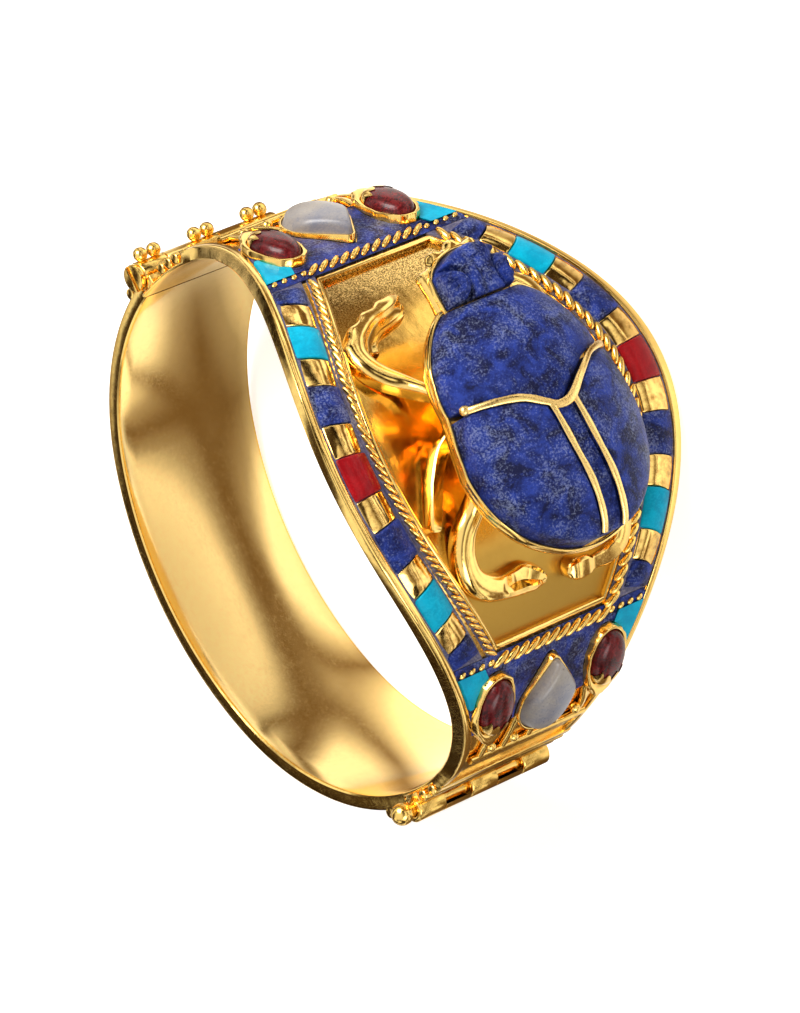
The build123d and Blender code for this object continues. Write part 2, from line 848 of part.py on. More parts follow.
def trimmed_leg(leg):
    """A leg stopped short of the panel under it and of the beetle over it."""
    bottom = beetle_base - beetle_plate - leg_clearance
    beetle = wing_outline(collet_wall + leg_clearance) + chest_outline(collet_wall + leg_clearance)
    leg &= shell(panel_top + leg_clearance, reach / 2)
    leg -= along_x(beetle, bottom)
    return max(leg.solids(), key=lambda solid: solid.volume)


def fore_leg():
    leg = bent_rod(fore_thigh, fore_leg_radius) + bent_rod(fore_shin, fore_leg_radius)
    for length_share, width_share in fore_teeth:
        place = panel_point(length_share, width_share, fore_tooth_height)
        leg += Pos(*place) * Sphere(fore_tooth_radius)
    return trimmed_leg(leg)


def all_pieces():
    """Every piece by name, in the frame of the wrist's axis."""
    pieces = {"front_shell": front_shell(), "back_shell": back_shell()}
    pieces["hinge_pin"] = hinge_pin()
    pieces["clasp_pin"] = clasp_pin()
    rope = long_rope()
    pieces["near_rope"] = rope
    pieces["far_rope"] = far_side(rope)
    rope = end_rope()
    pieces["head_rope"] = rope
    pieces["tail_rope"] = tail_side(rope)
    stones, bars = border_pieces()
    for place, stone in stones.items():
        pieces["near_stone_" + place] = stone
        pieces["far_stone_" + place] = far_side(stone)
    for place, bar in bars.items():
        pieces["near_bar_" + place] = bar
        pieces["far_bar_" + place] = far_side(bar)
    corner = corner_stone()
    ground = end_ground()
    setting = end_setting()
    drop = drop_stone()
    bud = bud_stone()
    for end, turn in (("head", lambda solid: solid), ("tail", tail_side)):
        pieces[end + "_corner_near"] = turn(corner)
        pieces[end + "_corner_far"] = turn(far_side(corner))
        pieces[end + "_ground"] = turn(ground)
        pieces[end + "_setting"] = turn(setting)
        pieces[end + "_drop"] = turn(drop)
        pieces[end + "_bud_near"] = turn(bud)
        pieces[end + "_bud_far"] = turn(far_side(bud))
    pieces["scarab_setting"] = beetle_setting()
    pieces.update(beetle_stones())
    legs = {
        "fore_leg": fore_leg(),
        "middle_leg": trimmed_leg(bent_rod(middle_leg, middle_leg_radius)),
        "hind_leg": trimmed_leg(bent_rod(hind_leg, hind_leg_radius)),
    }
    for name, leg in legs.items():
        pieces["near_" + name] = leg
        pieces["far_" + name] = far_side(leg)
    return pieces


def laid_down(pieces):
    """The bracelet on its side, resting on the plate's far edge and the band's far rim."""
    rise = plate_half_width - band_half_width
    length = front_inner_depth + back_inner_depth + back_rim_top
    tilt = math.degrees(math.atan2(rise, length))
    turned = {name: Rot(0, -tilt, 0) * piece for name, piece in pieces.items()}
    boxes = [piece.bounding_box() for piece in turned.values()]
    low = [min(getattr(box.min, axis) for box in boxes) for axis in "XYZ"]
    high = [max(getattr(box.max, axis) for box in boxes) for axis in "XYZ"]
    shift = Pos(-(low[0] + high[0]) / 2, -(low[1] + high[1]) / 2, -low[2])
    return {name: shift * piece for name, piece in turned.items()}


os.makedirs("parts", exist_ok=True)
for name, piece in laid_down(all_pieces()).items():
    export_step(piece, "parts/%s.step" % name)
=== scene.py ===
# %% [markdown]
# # Dressing a scarab bracelet
# The bracelet is an old gold bangle in two hinged halves. Its wide front carries a beetle cut from
# blue stone, between borders of inlaid stones and twisted rope. The CAD part gives every size and
# place. Here each piece gets the rounding, carving and finish that the goldsmith's real one has.

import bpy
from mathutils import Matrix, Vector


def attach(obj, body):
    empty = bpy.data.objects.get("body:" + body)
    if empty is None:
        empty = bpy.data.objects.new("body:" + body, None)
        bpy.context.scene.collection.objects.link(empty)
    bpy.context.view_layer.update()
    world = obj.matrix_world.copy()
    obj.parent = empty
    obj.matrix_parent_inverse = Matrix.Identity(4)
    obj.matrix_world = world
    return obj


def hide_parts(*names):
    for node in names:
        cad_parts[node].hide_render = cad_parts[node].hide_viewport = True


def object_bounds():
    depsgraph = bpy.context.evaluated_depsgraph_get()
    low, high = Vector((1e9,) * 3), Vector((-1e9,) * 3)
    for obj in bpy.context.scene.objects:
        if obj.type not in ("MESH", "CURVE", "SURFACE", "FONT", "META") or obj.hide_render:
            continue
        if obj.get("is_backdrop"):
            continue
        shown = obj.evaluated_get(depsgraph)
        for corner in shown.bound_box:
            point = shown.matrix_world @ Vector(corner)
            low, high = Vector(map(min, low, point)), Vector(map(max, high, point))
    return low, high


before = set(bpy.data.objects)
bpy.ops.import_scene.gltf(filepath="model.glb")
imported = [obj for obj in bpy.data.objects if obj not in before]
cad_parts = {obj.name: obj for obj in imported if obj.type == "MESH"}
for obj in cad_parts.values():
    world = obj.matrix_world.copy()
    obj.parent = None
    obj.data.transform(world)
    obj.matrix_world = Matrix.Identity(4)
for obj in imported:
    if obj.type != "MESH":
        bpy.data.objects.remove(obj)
cad_box = [list(corner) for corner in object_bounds()]
print("the CAD part's box, in metres:", cad_box)

# %% [markdown]
# ## Two sets of coordinates
# A bangle is easiest to draw round the wrist's own axis: x points out through the beetle, y runs
# from the clasp to the hinge and z along the wrist, in millimetres. The finished bracelet lies on
# its side and leans a little, because its front is wider than its back. Every mesh is therefore
# drawn upright first, and one small function lays it down.

# %% Lay the bracelet down
import math

import bmesh
import bpy
import numpy as np
from mathutils import Matrix

lean = math.radians(13.709514690237418)
moved = np.array((-3.98623680633637, -0.55162317638848, 14.815571217258478))


def turned(points):
    """Directions round the wrist's axis, turned to how the bracelet lies."""
    x, y, z = np.asarray(points, float).reshape(-1, 3).T
    cos, sin = math.cos(lean), math.sin(lean)
    return np.stack((x * cos - z * sin, y, x * sin + z * cos), axis=1)


def laid_down(points):
    """Points round the wrist's axis in mm, as points of the scene in metres."""
    return (turned(points) + moved) / 1000


print("the beetle's top lies at", laid_down([(36.6, 0, 0)])[0].round(4))

# %% [markdown]
# ## The oval
# The hollow for the wrist is an oval of four kinds of arc. Because each piece lies a known height
# outside that oval, a point needs only the direction its surface faces and a height.

# %% The oval and the plate's width
half_span = 28.0
front_depth, front_side = 24.8, 22.0
back_depth, back_side = 25.3, 24.5


def long_radius(depth, side):
    """Radius of the long arc between two side arcs."""
    return (depth ** 2 + half_span ** 2 - 2 * half_span * side) / (2 * (depth - side))


front_long = long_radius(front_depth, front_side)
back_long = long_radius(back_depth, back_side)
front_join = math.degrees(math.atan2(half_span - front_side, front_long - front_depth))
back_join = math.degrees(math.atan2(half_span - back_side, back_long - back_depth))


def oval(facing, height):
    """x and y of the surface a height outside the hollow, where it faces this angle."""
    turn = math.radians(facing)
    away = abs((facing + 180) % 360 - 180)
    side = math.copysign(1, math.sin(turn))
    if away <= front_join:
        x, y, radius = front_depth - front_long, 0, front_long
    elif away <= 90:
        x, y, radius = 0, side * (half_span - front_side), front_side
    elif away <= 180 - back_join:
        x, y, radius = 0, side * (half_span - back_side), back_side
    else:
        x, y, radius = back_long - back_depth, 0, back_long
    return x + (radius + height) * math.cos(turn), y + (radius + height) * math.sin(turn)


def front_at(y, height):
    """x and facing of the front's surface of a height, where it has this y."""
    radius = front_long + height
    if abs(y) <= radius * math.sin(math.radians(front_join)):
        facing = math.asin(y / radius)
        return front_depth - front_long + radius * math.cos(facing), math.degrees(facing)
    radius = front_side + height
    facing = math.asin(min(1, (abs(y) - half_span + front_side) / radius))
    return radius * math.cos(facing), math.copysign(math.degrees(facing), y)


band_half_width, plate_half_width = 8.7, 21.3
narrow_from_y, swell_power = 28.5, 1.1


def half_width(y):
    """Half the plate's width: wide at the beetle, narrow at both ends."""
    swell = math.cos(math.pi / 2 * min(1, abs(y) / narrow_from_y)) ** swell_power
    return band_half_width + (plate_half_width - band_half_width) * swell


print("the long arc's radius is %.2f mm, up to %.1f degrees" % (front_long, front_join))

# %% [markdown]
# ## Mesh helpers
# Four helpers make almost every shape here. A loft joins rings of points. A slab is a flat piece
# with softened edges. A stone has an upright wall, a rounded edge and a domed top. A sweep pushes a
# cross-section along a path. They return plain lists, so that several shapes can be one mesh.

# %% Loft and join
def loft(rings, closed=False, caps=True):
    """A skin over rings of as many points each."""
    rings = [np.asarray(ring, float) for ring in rings]
    count, size = len(rings), len(rings[0])
    faces = []
    for a in range(count if closed else count - 1):
        b = (a + 1) % count
        for i in range(size):
            j = (i + 1) % size
            faces.append((a * size + i, a * size + j, b * size + j, b * size + i))
    if caps and not closed:
        faces.append(tuple(range(size))[::-1])
        faces.append(tuple((count - 1) * size + i for i in range(size)))
    return np.concatenate(rings), faces


def together(shapes):
    """Several shapes as one."""
    points, faces, start = [], [], 0
    for shape_points, shape_faces in shapes:
        points.append(np.asarray(shape_points, float))
        faces += [tuple(start + i for i in face) for face in shape_faces]
        start += len(shape_points)
    return np.concatenate(points), faces


def mirrored(shape, axis):
    """The same shape on the other side: axis 1 swaps hinge and clasp, axis 2 near and far."""
    points = np.array(shape[0], float)
    points[:, axis] *= -1
    return points, [tuple(face)[::-1] for face in shape[1]]


# %% Outlines
def inset(outline, distance):
    """An outline that runs anticlockwise, drawn in by a distance."""
    outline = np.asarray(outline, float)
    before = outline - np.roll(outline, 1, axis=0)
    after = np.roll(outline, -1, axis=0) - outline
    sides = []
    for edge in (before, after):
        length = np.maximum(np.linalg.norm(edge, axis=1, keepdims=True), 1e-9)
        sides.append(np.stack((-edge[:, 1], edge[:, 0]), axis=1) / length)
    middle = sides[0] + sides[1]
    square = np.maximum((middle ** 2).sum(axis=1, keepdims=True), 0.6)
    return outline + distance * 2 * middle / square


def softened(corners, radius, step=0.35):
    """A polygon with its corners rounded, as evenly spaced points."""
    corners = [np.array(corner, float) for corner in corners]
    points = []
    for k, corner in enumerate(corners):
        ends = []
        for other in (corners[k - 1], corners[(k + 1) % len(corners)]):
            length = np.linalg.norm(other - corner)
            ends.append(corner + (other - corner) * min(radius / length, 0.45))
        for t in np.linspace(0, 1, 5):
            points.append((1 - t) ** 2 * ends[0] + 2 * t * (1 - t) * corner + t ** 2 * ends[1])
        following = corners[(k + 1) % len(corners)]
        length = np.linalg.norm(following - corner)
        goal = following + (corner - following) * min(radius / length, 0.45)
        pieces = max(1, int(np.linalg.norm(goal - points[-1]) / step))
        start = points[-1]
        points += [start + (goal - start) * t for t in np.linspace(0, 1, pieces + 1)[1:-1]]
    return np.array(points)


def anticlockwise(outline):
    """The same outline, turned round if it runs clockwise."""
    outline = np.asarray(outline, float)
    following = np.roll(outline, -1, axis=0)
    area = (outline[:, 0] * following[:, 1] - following[:, 0] * outline[:, 1]).sum()
    return outline if area > 0 else outline[::-1]


def circle(x, y, radius, count=32):
    """A circle's points."""
    turns = np.linspace(0, 2 * math.pi, count, endpoint=False)
    return np.stack((x + radius * np.cos(turns), y + radius * np.sin(turns)), axis=1)


# %% An uneven outline
def wavy(outline, seed, amount=0.05):
    """An outline that a hand has pressed, never quite even."""
    random = np.random.default_rng(seed)
    turns = np.linspace(0, 2 * math.pi, len(outline), endpoint=False)
    waves = sum(random.normal(0, 1) * np.cos(k * turns + random.uniform(0, 6)) for k in (3, 5, 8, 13, 17))
    return inset(outline, 0) + (inset(outline, 1) - outline) * (amount * waves)[:, None]


# %% Slabs, stones and rails
def slab(outline, low, high, soft, place):
    """A flat piece between two heights, with softened edges; place puts a point on the bracelet."""
    outline = anticlockwise(outline)
    rings = []
    for height, drawn_in in ((low, soft), (low + 0.3 * soft, 0.3 * soft), (low + soft, 0),
                             (high - soft, 0), (high - 0.3 * soft, 0.3 * soft), (high, soft)):
        rings.append([place(a, b, height) for a, b in inset(outline, drawn_in)])
    return loft(rings)


def stone(outline, place, top, base, soft=0.35, rings=8, steps=5):
    """A stone with an upright wall and a rounded edge; top gives its height at each point."""
    outline = anticlockwise(outline)
    layers = [[place(a, b, base) for a, b in outline]]
    for t in np.linspace(0, math.pi / 2, steps):
        line = inset(outline, soft * (1 - math.cos(t)))
        layers.append([place(a, b, top(a, b) - soft * (1 - math.sin(t))) for a, b in line])
    inner = inset(outline, soft)
    middle = inner.mean(axis=0)
    for share in np.linspace(1, 0, rings + 1)[1:-1]:
        layers.append([place(a, b, top(a, b)) for a, b in middle + (inner - middle) * share])
    points, faces = loft(layers, caps=False)
    size = len(outline)
    last = len(points) - size
    points = np.concatenate((points, [place(*middle, top(*middle))]))
    faces += [(last + i, last + (i + 1) % size, len(points) - 1) for i in range(size)]
    faces.append(tuple(range(size))[::-1])
    return points, faces


def rail(outer, inner, low, high, soft, place):
    """A raised wall between two outlines with as many points each."""
    rings = []
    for (a0, b0), (a1, b1) in zip(outer, inner):
        ring = []
        for share, height in ((0, low), (0, high - soft), (0.12, high - 0.3 * soft), (0.35, high),
                              (0.65, high), (0.88, high - 0.3 * soft), (1, high - soft), (1, low)):
            ring.append(place(a0 + (a1 - a0) * share, b0 + (b1 - b0) * share, height))
        rings.append(ring)
    return loft(rings, closed=True)


# %% Paths and sweeps
def smooth_path(points, count):
    """A curve that passes through every point, as evenly spaced steps."""
    points = np.asarray(points, float)
    ends = np.concatenate(([2 * points[0] - points[1]], points, [2 * points[-1] - points[-2]]))
    steps = []
    for k in range(1, len(ends) - 2):
        p0, p1, p2, p3 = ends[k - 1:k + 3]
        for t in np.linspace(0, 1, 24, endpoint=False):
            curve = 2 * p1 + (p2 - p0) * t + (2 * p0 - 5 * p1 + 4 * p2 - p3) * t ** 2
            steps.append((curve + (3 * p1 - p0 - 3 * p2 + p3) * t ** 3) / 2)
    steps = np.array(steps + [points[-1]])
    lengths = np.concatenate(([0], np.cumsum(np.linalg.norm(np.diff(steps, axis=0), axis=1))))
    goals = np.linspace(0, lengths[-1], count)
    return np.stack([np.interp(goals, lengths, steps[:, i]) for i in range(steps.shape[1])], axis=1)


def sweep(path, up, section, closed=False):
    """A cross-section pushed along a path. section(k) gives its points as (sideways, upwards)."""
    path = np.asarray(path, float)
    up = np.broadcast_to(np.asarray(up, float), path.shape)
    if closed:
        along = np.roll(path, -1, axis=0) - np.roll(path, 1, axis=0)
    else:
        along = np.gradient(path, axis=0)
    along /= np.linalg.norm(along, axis=1, keepdims=True)
    side = np.cross(along, up)
    side /= np.linalg.norm(side, axis=1, keepdims=True)
    rise = np.cross(side, along)
    rings = [[path[k] + a * side[k] + b * rise[k] for a, b in section(k)] for k in range(len(path))]
    return loft(rings, closed=closed)


def round_section(radius, flat=1.0, count=12):
    """A round or flattened cross-section."""
    turns = np.linspace(0, 2 * math.pi, count, endpoint=False)
    return [(radius * math.cos(t), radius * flat * math.sin(t)) for t in turns]


def grain(centre, along, up, length, width, height):
    """A rice-shaped bead of metal."""
    along = np.asarray(along, float) / np.linalg.norm(along)
    side = np.cross(along, up)
    side /= np.linalg.norm(side)
    rise = np.cross(side, along)
    rings = []
    for t in np.sin(np.linspace(-1.4, 1.4, 11)):
        swell = (1 - t * t) ** 0.45
        ring = []
        for turn in np.linspace(0, 2 * math.pi, 14, endpoint=False):
            ring.append(centre + along * (t * length / 2) + side * (width / 2 * swell * math.cos(turn))
                        + rise * (height / 2 * swell * math.sin(turn)))
        rings.append(ring)
    return loft(rings)


# %% [markdown]
# ## From lists to objects
# Each finished shape becomes one object. It is laid down, its normals are made to point outwards,
# and edges sharper than a chosen angle stay crisp while the rest is shaded smooth.

# %% Make a piece
made = {}


def piece(name, shape, materials, body="front", stands_for=(), slot=None, crease=38, index=None):
    """One object of the bracelet from a shape and its material or materials."""
    points, faces = shape
    mesh = bpy.data.meshes.new(name)
    mesh.from_pydata(laid_down(points).tolist(), [], [list(map(int, face)) for face in faces])
    if not isinstance(materials, (list, tuple)):
        materials = [materials]
    for material in materials:
        mesh.materials.append(material)
    if index is not None:
        mesh.polygons.foreach_set("material_index", index)
    shell = bmesh.new()
    shell.from_mesh(mesh)
    bmesh.ops.recalc_face_normals(shell, faces=shell.faces)
    shell.to_mesh(mesh)
    shell.free()
    mesh.shade_smooth()
    mesh.set_sharp_from_angle(angle=math.radians(crease))
    thing = bpy.data.objects.new(name, mesh)
    bpy.context.scene.collection.objects.link(thing)
    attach(thing, body)
    if stands_for:
        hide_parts(*stands_for)
    made[name] = len(mesh.polygons)
    return thing


# %% [markdown]
# ## Finishes
# A finish is a few shader nodes. Two effects serve several materials, so each is a node group with
# its own inputs: the small scratches, dents and tarnish of worn metal, and the cloudy body of a
# cut stone. A group only gives out colours, masks and heights. The shader itself stays in the
# material, where the export can read it.

# %% Node helpers
def node(tree, kind, links=(), **settings):
    """A shader node with its settings; links are (input, output it takes its value from)."""
    new = tree.nodes.new("ShaderNode" + kind)
    for name, value in settings.items():
        if hasattr(new, name):
            setattr(new, name, value)
        else:
            new.inputs[name.replace("_", " ")].default_value = value
    for name, source in links:
        tree.links.new(source, new.inputs[name])
    return new


def group(name, inputs, outputs):
    """An empty node group with named sockets, and its input and output nodes."""
    tree = bpy.data.node_groups.new(name, "ShaderNodeTree")
    for label, kind, value in inputs:
        socket = tree.interface.new_socket(label, in_out="INPUT", socket_type="NodeSocket" + kind)
        socket.default_value = value
    for label, kind in outputs:
        tree.interface.new_socket(label, in_out="OUTPUT", socket_type="NodeSocket" + kind)
    return tree, tree.nodes.new("NodeGroupInput").outputs, tree.nodes.new("NodeGroupOutput").inputs


def math_node(tree, kind, first, second):
    """One sum on two values or outputs."""
    new = tree.nodes.new("ShaderNodeMath")
    new.operation = kind
    for socket, value in zip(new.inputs, (first, second)):
        if isinstance(value, (int, float)):
            socket.default_value = value
        else:
            tree.links.new(value, socket)
    return new.outputs[0]


def ramp(tree, source, stops):
    """A colour ramp from stops of (place, colour)."""
    new = tree.nodes.new("ShaderNodeValToRGB")
    bands = new.color_ramp
    while len(bands.elements) < len(stops):
        bands.elements.new(0.5)
    for band, (place, colour) in zip(bands.elements, stops):
        band.position = place
        band.color = colour if len(colour) == 4 else (*colour, 1)
    tree.links.new(source, new.inputs[0])
    return new.outputs[0]


black, white = (0, 0, 0), (1, 1, 1)


def rising(tree, source, low, high):
    """A mask that rises from black to white between two values."""
    return ramp(tree, source, [(low, black), (high, white)])


def mix(tree, share, first, second, kind="MIX"):
    """A blend of two colours, or their product where the kind is MULTIPLY."""
    new = tree.nodes.new("ShaderNodeMix")
    new.data_type = "RGBA"
    new.blend_type = kind
    for socket, value in ((new.inputs[0], share), (new.inputs[6], first), (new.inputs[7], second)):
        if isinstance(value, (int, float)):
            socket.default_value = value
        elif isinstance(value, tuple):
            socket.default_value = (*value, 1)
        else:
            tree.links.new(value, socket)
    return new.outputs[2]


in_millimetres = (1000, 1000, 1000)


def clouds(tree, scale, detail=3.0, roughness=0.5, stretch=in_millimetres):
    """Noise over the piece, at so many clouds to the millimetre."""
    place = node(tree, "TexCoord")
    sized = node(tree, "Mapping", [("Vector", place.outputs["Object"])], Scale=stretch)
    return node(tree, "TexNoise", [("Vector", sized.outputs[0])], Scale=scale, Detail=detail,
                Roughness=roughness).outputs["Fac"]


# %% Worn metal
worn, given, out = group(
    "worn_metal",
    [("Metal", "Color", (0.9, 0.6, 0.2, 1)), ("Tarnish", "Color", (0.3, 0.15, 0.04, 1)),
     ("Tarnish Amount", "Float", 0.3), ("Polish", "Float", 0.12), ("Rubbed", "Float", 0.3),
     ("Scratches", "Float", 0.3), ("Dents", "Float", 0.5)],
    [("Color", "Color"), ("Roughness", "Float"), ("Height", "Float")],
)
broad = clouds(worn, 0.16, 3)
fine = clouds(worn, 1.4, 4, 0.6)
hairs = clouds(worn, 2.2, 5, 0.7, (260, 1500, 2600))
crossed = clouds(worn, 2.0, 5, 0.7, (2400, 420, 900))
scratch = math_node(worn, "MAXIMUM", hairs, crossed)
stain = rising(worn, fine, 0.42, 0.72)
stained = math_node(worn, "MULTIPLY", stain, given["Tarnish Amount"])
tone = mix(worn, stained, given["Metal"], given["Tarnish"])
worn.links.new(tone, out["Color"])
rub = math_node(worn, "MULTIPLY", rising(worn, scratch, 0.5, 0.75), given["Rubbed"])
blotch = math_node(worn, "MULTIPLY", rising(worn, broad, 0.35, 0.7), 0.06)
uneven = math_node(worn, "ADD", rub, blotch)
worn.links.new(math_node(worn, "ADD", uneven, given["Polish"]), out["Roughness"])
dents = math_node(worn, "MULTIPLY", clouds(worn, 0.45, 2, 0.4), given["Dents"])
lines = math_node(worn, "MULTIPLY", scratch, given["Scratches"])
worn.links.new(math_node(worn, "ADD", dents, lines), out["Height"])
print("worn_metal has", len(worn.nodes), "nodes")

# %% Cut stone
cut, given, out = group(
    "cut_stone",
    [("Body", "Color", (0.02, 0.03, 0.3, 1)), ("Deep", "Color", (0.01, 0.01, 0.1, 1)),
     ("Pale", "Color", (0.2, 0.25, 0.6, 1)), ("Cloud Size", "Float", 0.5), ("Pale Amount", "Float", 0.4),
     ("Pits", "Float", 0.3), ("Gloss", "Float", 0.1)],
    [("Color", "Color"), ("Roughness", "Float"), ("Height", "Float")],
)
place = node(cut, "TexCoord")
sized = node(cut, "Mapping", [("Vector", place.outputs["Object"])], Scale=in_millimetres)
large = node(cut, "TexNoise", [("Vector", sized.outputs[0]), ("Scale", given["Cloud Size"])],
             Detail=5.0, Roughness=0.6, Distortion=0.6).outputs["Fac"]
small = clouds(cut, 4.5, 4, 0.7)
mottled = math_node(cut, "ADD", large, math_node(cut, "MULTIPLY", small, 0.35))
shade = mix(cut, rising(cut, mottled, 0.56, 0.82), given["Deep"], given["Body"])
patchy = clouds(cut, 0.28, 4, 0.6)
specks = math_node(cut, "ADD", small, math_node(cut, "MULTIPLY", patchy, 0.6))
pale = math_node(cut, "MULTIPLY", rising(cut, specks, 0.82, 1.0), given["Pale Amount"])
cut.links.new(mix(cut, pale, shade, given["Pale"]), out["Color"])
duller = math_node(cut, "MULTIPLY", small, 0.2)
cut.links.new(math_node(cut, "ADD", duller, given["Gloss"]), out["Roughness"])
cut.links.new(math_node(cut, "MULTIPLY", small, given["Pits"]), out["Height"])
print("cut_stone has", len(cut.nodes), "nodes")


# %% Materials from the two groups
def finished(name, effect, values, bump=0.1, distance=0.0002, **shader):
    """A material whose colour, roughness and bump come from a node group."""
    material = bpy.data.materials.new(name)
    material.use_nodes = True
    tree = material.node_tree
    surface = tree.nodes["Principled BSDF"]
    look = tree.nodes.new("ShaderNodeGroup")
    look.node_tree = effect
    for label, value in values.items():
        look.inputs[label].default_value = value if isinstance(value, (int, float)) else (*value, 1)
    tree.links.new(look.outputs["Color"], surface.inputs["Base Color"])
    tree.links.new(look.outputs["Roughness"], surface.inputs["Roughness"])
    relief = node(tree, "Bump", [("Height", look.outputs["Height"])], Strength=bump, Distance=distance)
    tree.links.new(relief.outputs[0], surface.inputs["Normal"])
    for label, value in shader.items():
        surface.inputs[label.replace("_", " ")].default_value = value
    return material


gold_colour, gold_tarnish = (1.0, 0.67, 0.2), (0.42, 0.18, 0.03)
polished_gold = finished("polished_gold", worn, {
    "Metal": gold_colour, "Tarnish": gold_tarnish, "Tarnish Amount": 0.12, "Polish": 0.09,
    "Rubbed": 0.14, "Scratches": 0.1, "Dents": 1.0}, bump=0.2, Metallic=1.0)
worked_gold = finished("worked_gold", worn, {
    "Metal": (1.0, 0.66, 0.18), "Tarnish": gold_tarnish, "Tarnish Amount": 0.25, "Polish": 0.1,
    "Rubbed": 0.2, "Scratches": 0.25, "Dents": 1.4}, bump=0.3, Metallic=1.0)
# The bars get much heavier brown patches than the other golds, scattered at random.
bar_gold = finished("bar_gold", worn, {
    "Metal": (1.0, 0.66, 0.2), "Tarnish": (0.3, 0.12, 0.02), "Tarnish Amount": 0.75, "Polish": 0.08,
    "Rubbed": 0.08, "Scratches": 0.03, "Dents": 1.6}, bump=0.25, Metallic=1.0)
mirror_gold = finished("mirror_gold", worn, {
    "Metal": (1.0, 0.75, 0.32), "Tarnish": (0.55, 0.33, 0.08), "Tarnish Amount": 0.08, "Polish": 0.07,
    "Rubbed": 0.1, "Scratches": 0.04, "Dents": 0.15}, bump=0.15, Metallic=1.0)
pale_gold = finished("pale_gold", worn, {
    "Metal": (1.0, 0.69, 0.25), "Tarnish": gold_tarnish, "Tarnish Amount": 0.08, "Polish": 0.2,
    "Rubbed": 0.25, "Scratches": 0.2, "Dents": 1.2}, bump=0.3, Metallic=1.0)
lapis = finished("lapis", cut, {
    "Body": (0.02, 0.046, 0.3), "Deep": (0.002, 0.004, 0.04), "Pale": (0.3, 0.34, 0.5),
    "Cloud Size": 0.45, "Pale Amount": 0.5, "Pits": 2.0, "Gloss": 0.26}, bump=0.55, Specular_IOR_Level=0.14)
turquoise = finished("turquoise", cut, {
    "Body": (0.0, 0.42, 0.62), "Deep": (0.0, 0.3, 0.48), "Pale": (0.03, 0.55, 0.68),
    "Cloud Size": 0.6, "Pale Amount": 0.25, "Pits": 0.4, "Gloss": 0.25}, IOR=1.3, Specular_IOR_Level=0.25)
red_stone = finished("red_stone", cut, {
    "Body": (0.36, 0.006, 0.01), "Deep": (0.24, 0.004, 0.007), "Pale": (0.46, 0.02, 0.02),
    "Cloud Size": 0.5, "Pale Amount": 0.25, "Pits": 0.15, "Gloss": 0.1}, IOR=1.4, Specular_IOR_Level=0.25)
garnet = finished("garnet", cut, {
    "Body": (0.13, 0.004, 0.006), "Deep": (0.035, 0.002, 0.003), "Pale": (0.36, 0.02, 0.02),
    "Cloud Size": 0.7, "Pale Amount": 0.4, "Pits": 0.8, "Gloss": 0.12}, Specular_IOR_Level=0.35)
milky_stone = finished("milky_stone", cut, {
    "Body": (0.33, 0.29, 0.25), "Deep": (0.2, 0.2, 0.24), "Pale": (0.5, 0.47, 0.45),
    "Cloud Size": 0.16, "Pale Amount": 0.15, "Pits": 0.05, "Gloss": 0.2})
cement = finished("cement", cut, {
    "Body": (0.12, 0.11, 0.2), "Deep": (0.05, 0.05, 0.12), "Pale": (0.42, 0.36, 0.36),
    "Cloud Size": 1.1, "Pale Amount": 0.6, "Pits": 1.5, "Gloss": 0.35}, bump=0.5)

# %% [markdown]
# ## The panel's gold
# The sunken panel behind the beetle isn't polished. It keeps the satin of the file and, towards the
# beetle's head, a coarse grain of tiny bright and dark specks. It could be displaced geometry, but
# specks of a tenth of a millimetre are cheaper and just as convincing as tone. The tail end is given
# a duller, browner gold. It is darker there in the photograph, which may be the metal or only the
# light, so this is the first thing to take out if the panel looks wrong in other light.

# %% Panel gold
panel_gold = finished("panel_gold", worn, {
    "Metal": (0.92, 0.55, 0.12), "Tarnish": (0.4, 0.19, 0.03), "Tarnish Amount": 0.15, "Polish": 0.12,
    "Rubbed": 0.12, "Scratches": 0.1, "Dents": 0.8}, bump=0.3, Metallic=1.0)
tree = panel_gold.node_tree
surface = tree.nodes["Principled BSDF"]
plain = surface.inputs["Base Color"].links[0].from_socket
dark_speck, bright_speck = (0.16, 0.085, 0.015), (0.9, 0.6, 0.2)
tail_tone, tail_dullness = (0.52, 0.31, 0.06), 0.25
speck = ramp(tree, clouds(tree, 7.0, 3, 0.7), [(0.44, dark_speck), (0.58, bright_speck)])
spot = node(tree, "TexCoord").outputs["Object"]
along_panel = node(tree, "SeparateXYZ", [("Vector", spot)]).outputs["Y"]
per_two_centimetres = 50.0
toward_head = rising(tree, math_node(tree, "MULTIPLY", along_panel, per_two_centimetres), 0.62, 0.8)
toward_tail = rising(tree, math_node(tree, "MULTIPLY", along_panel, -per_two_centimetres), 0.42, 0.6)
# Towards the tail end the panel's base colour is blended into a darker brown, tail_tone.
browner_tail = mix(tree, toward_tail, plain, tail_tone)
tree.links.new(mix(tree, toward_head, browner_tail, speck), surface.inputs["Base Color"])
satin = math_node(tree, "MULTIPLY", toward_tail, tail_dullness)
smooth = surface.inputs["Roughness"].links[0].from_socket
tree.links.new(math_node(tree, "ADD", smooth, satin), surface.inputs["Roughness"])
print("materials:", sorted(material.name for material in bpy.data.materials))

# %% [markdown]
# ## The front plate
# The front is one sheet of gold with a turned-up lip along both edges and a sunken panel in the
# middle. It could be carved out of a block, but a loft of cross-sections round the oval keeps the
# mirror-like inside perfectly smooth. Each section has the same points, so the panel's faces can be
# given their own finish by counting.

# %% Loft the front plate
liner_top, panel_top, plate_top, lip_top = 0.45, 0.5, 1.0, 1.35
lip_width = 1.0
rope_inset, rope_width, rope_drift, end_rope_y = 5.5, 1.0, 0.7, 20.5
frame_gap, frame_width = 0.1, 0.45
rope_start = end_rope_y - rope_width / 2
panel_half_length = rope_start - frame_gap - frame_width
strip_x, strip_width, strip_top = 2.6, 0.9, plate_top + 0.45


def rope_line(y):
    """How far the long rope runs inside the plate's edge."""
    return rope_inset + rope_drift * (y / end_rope_y) ** 2


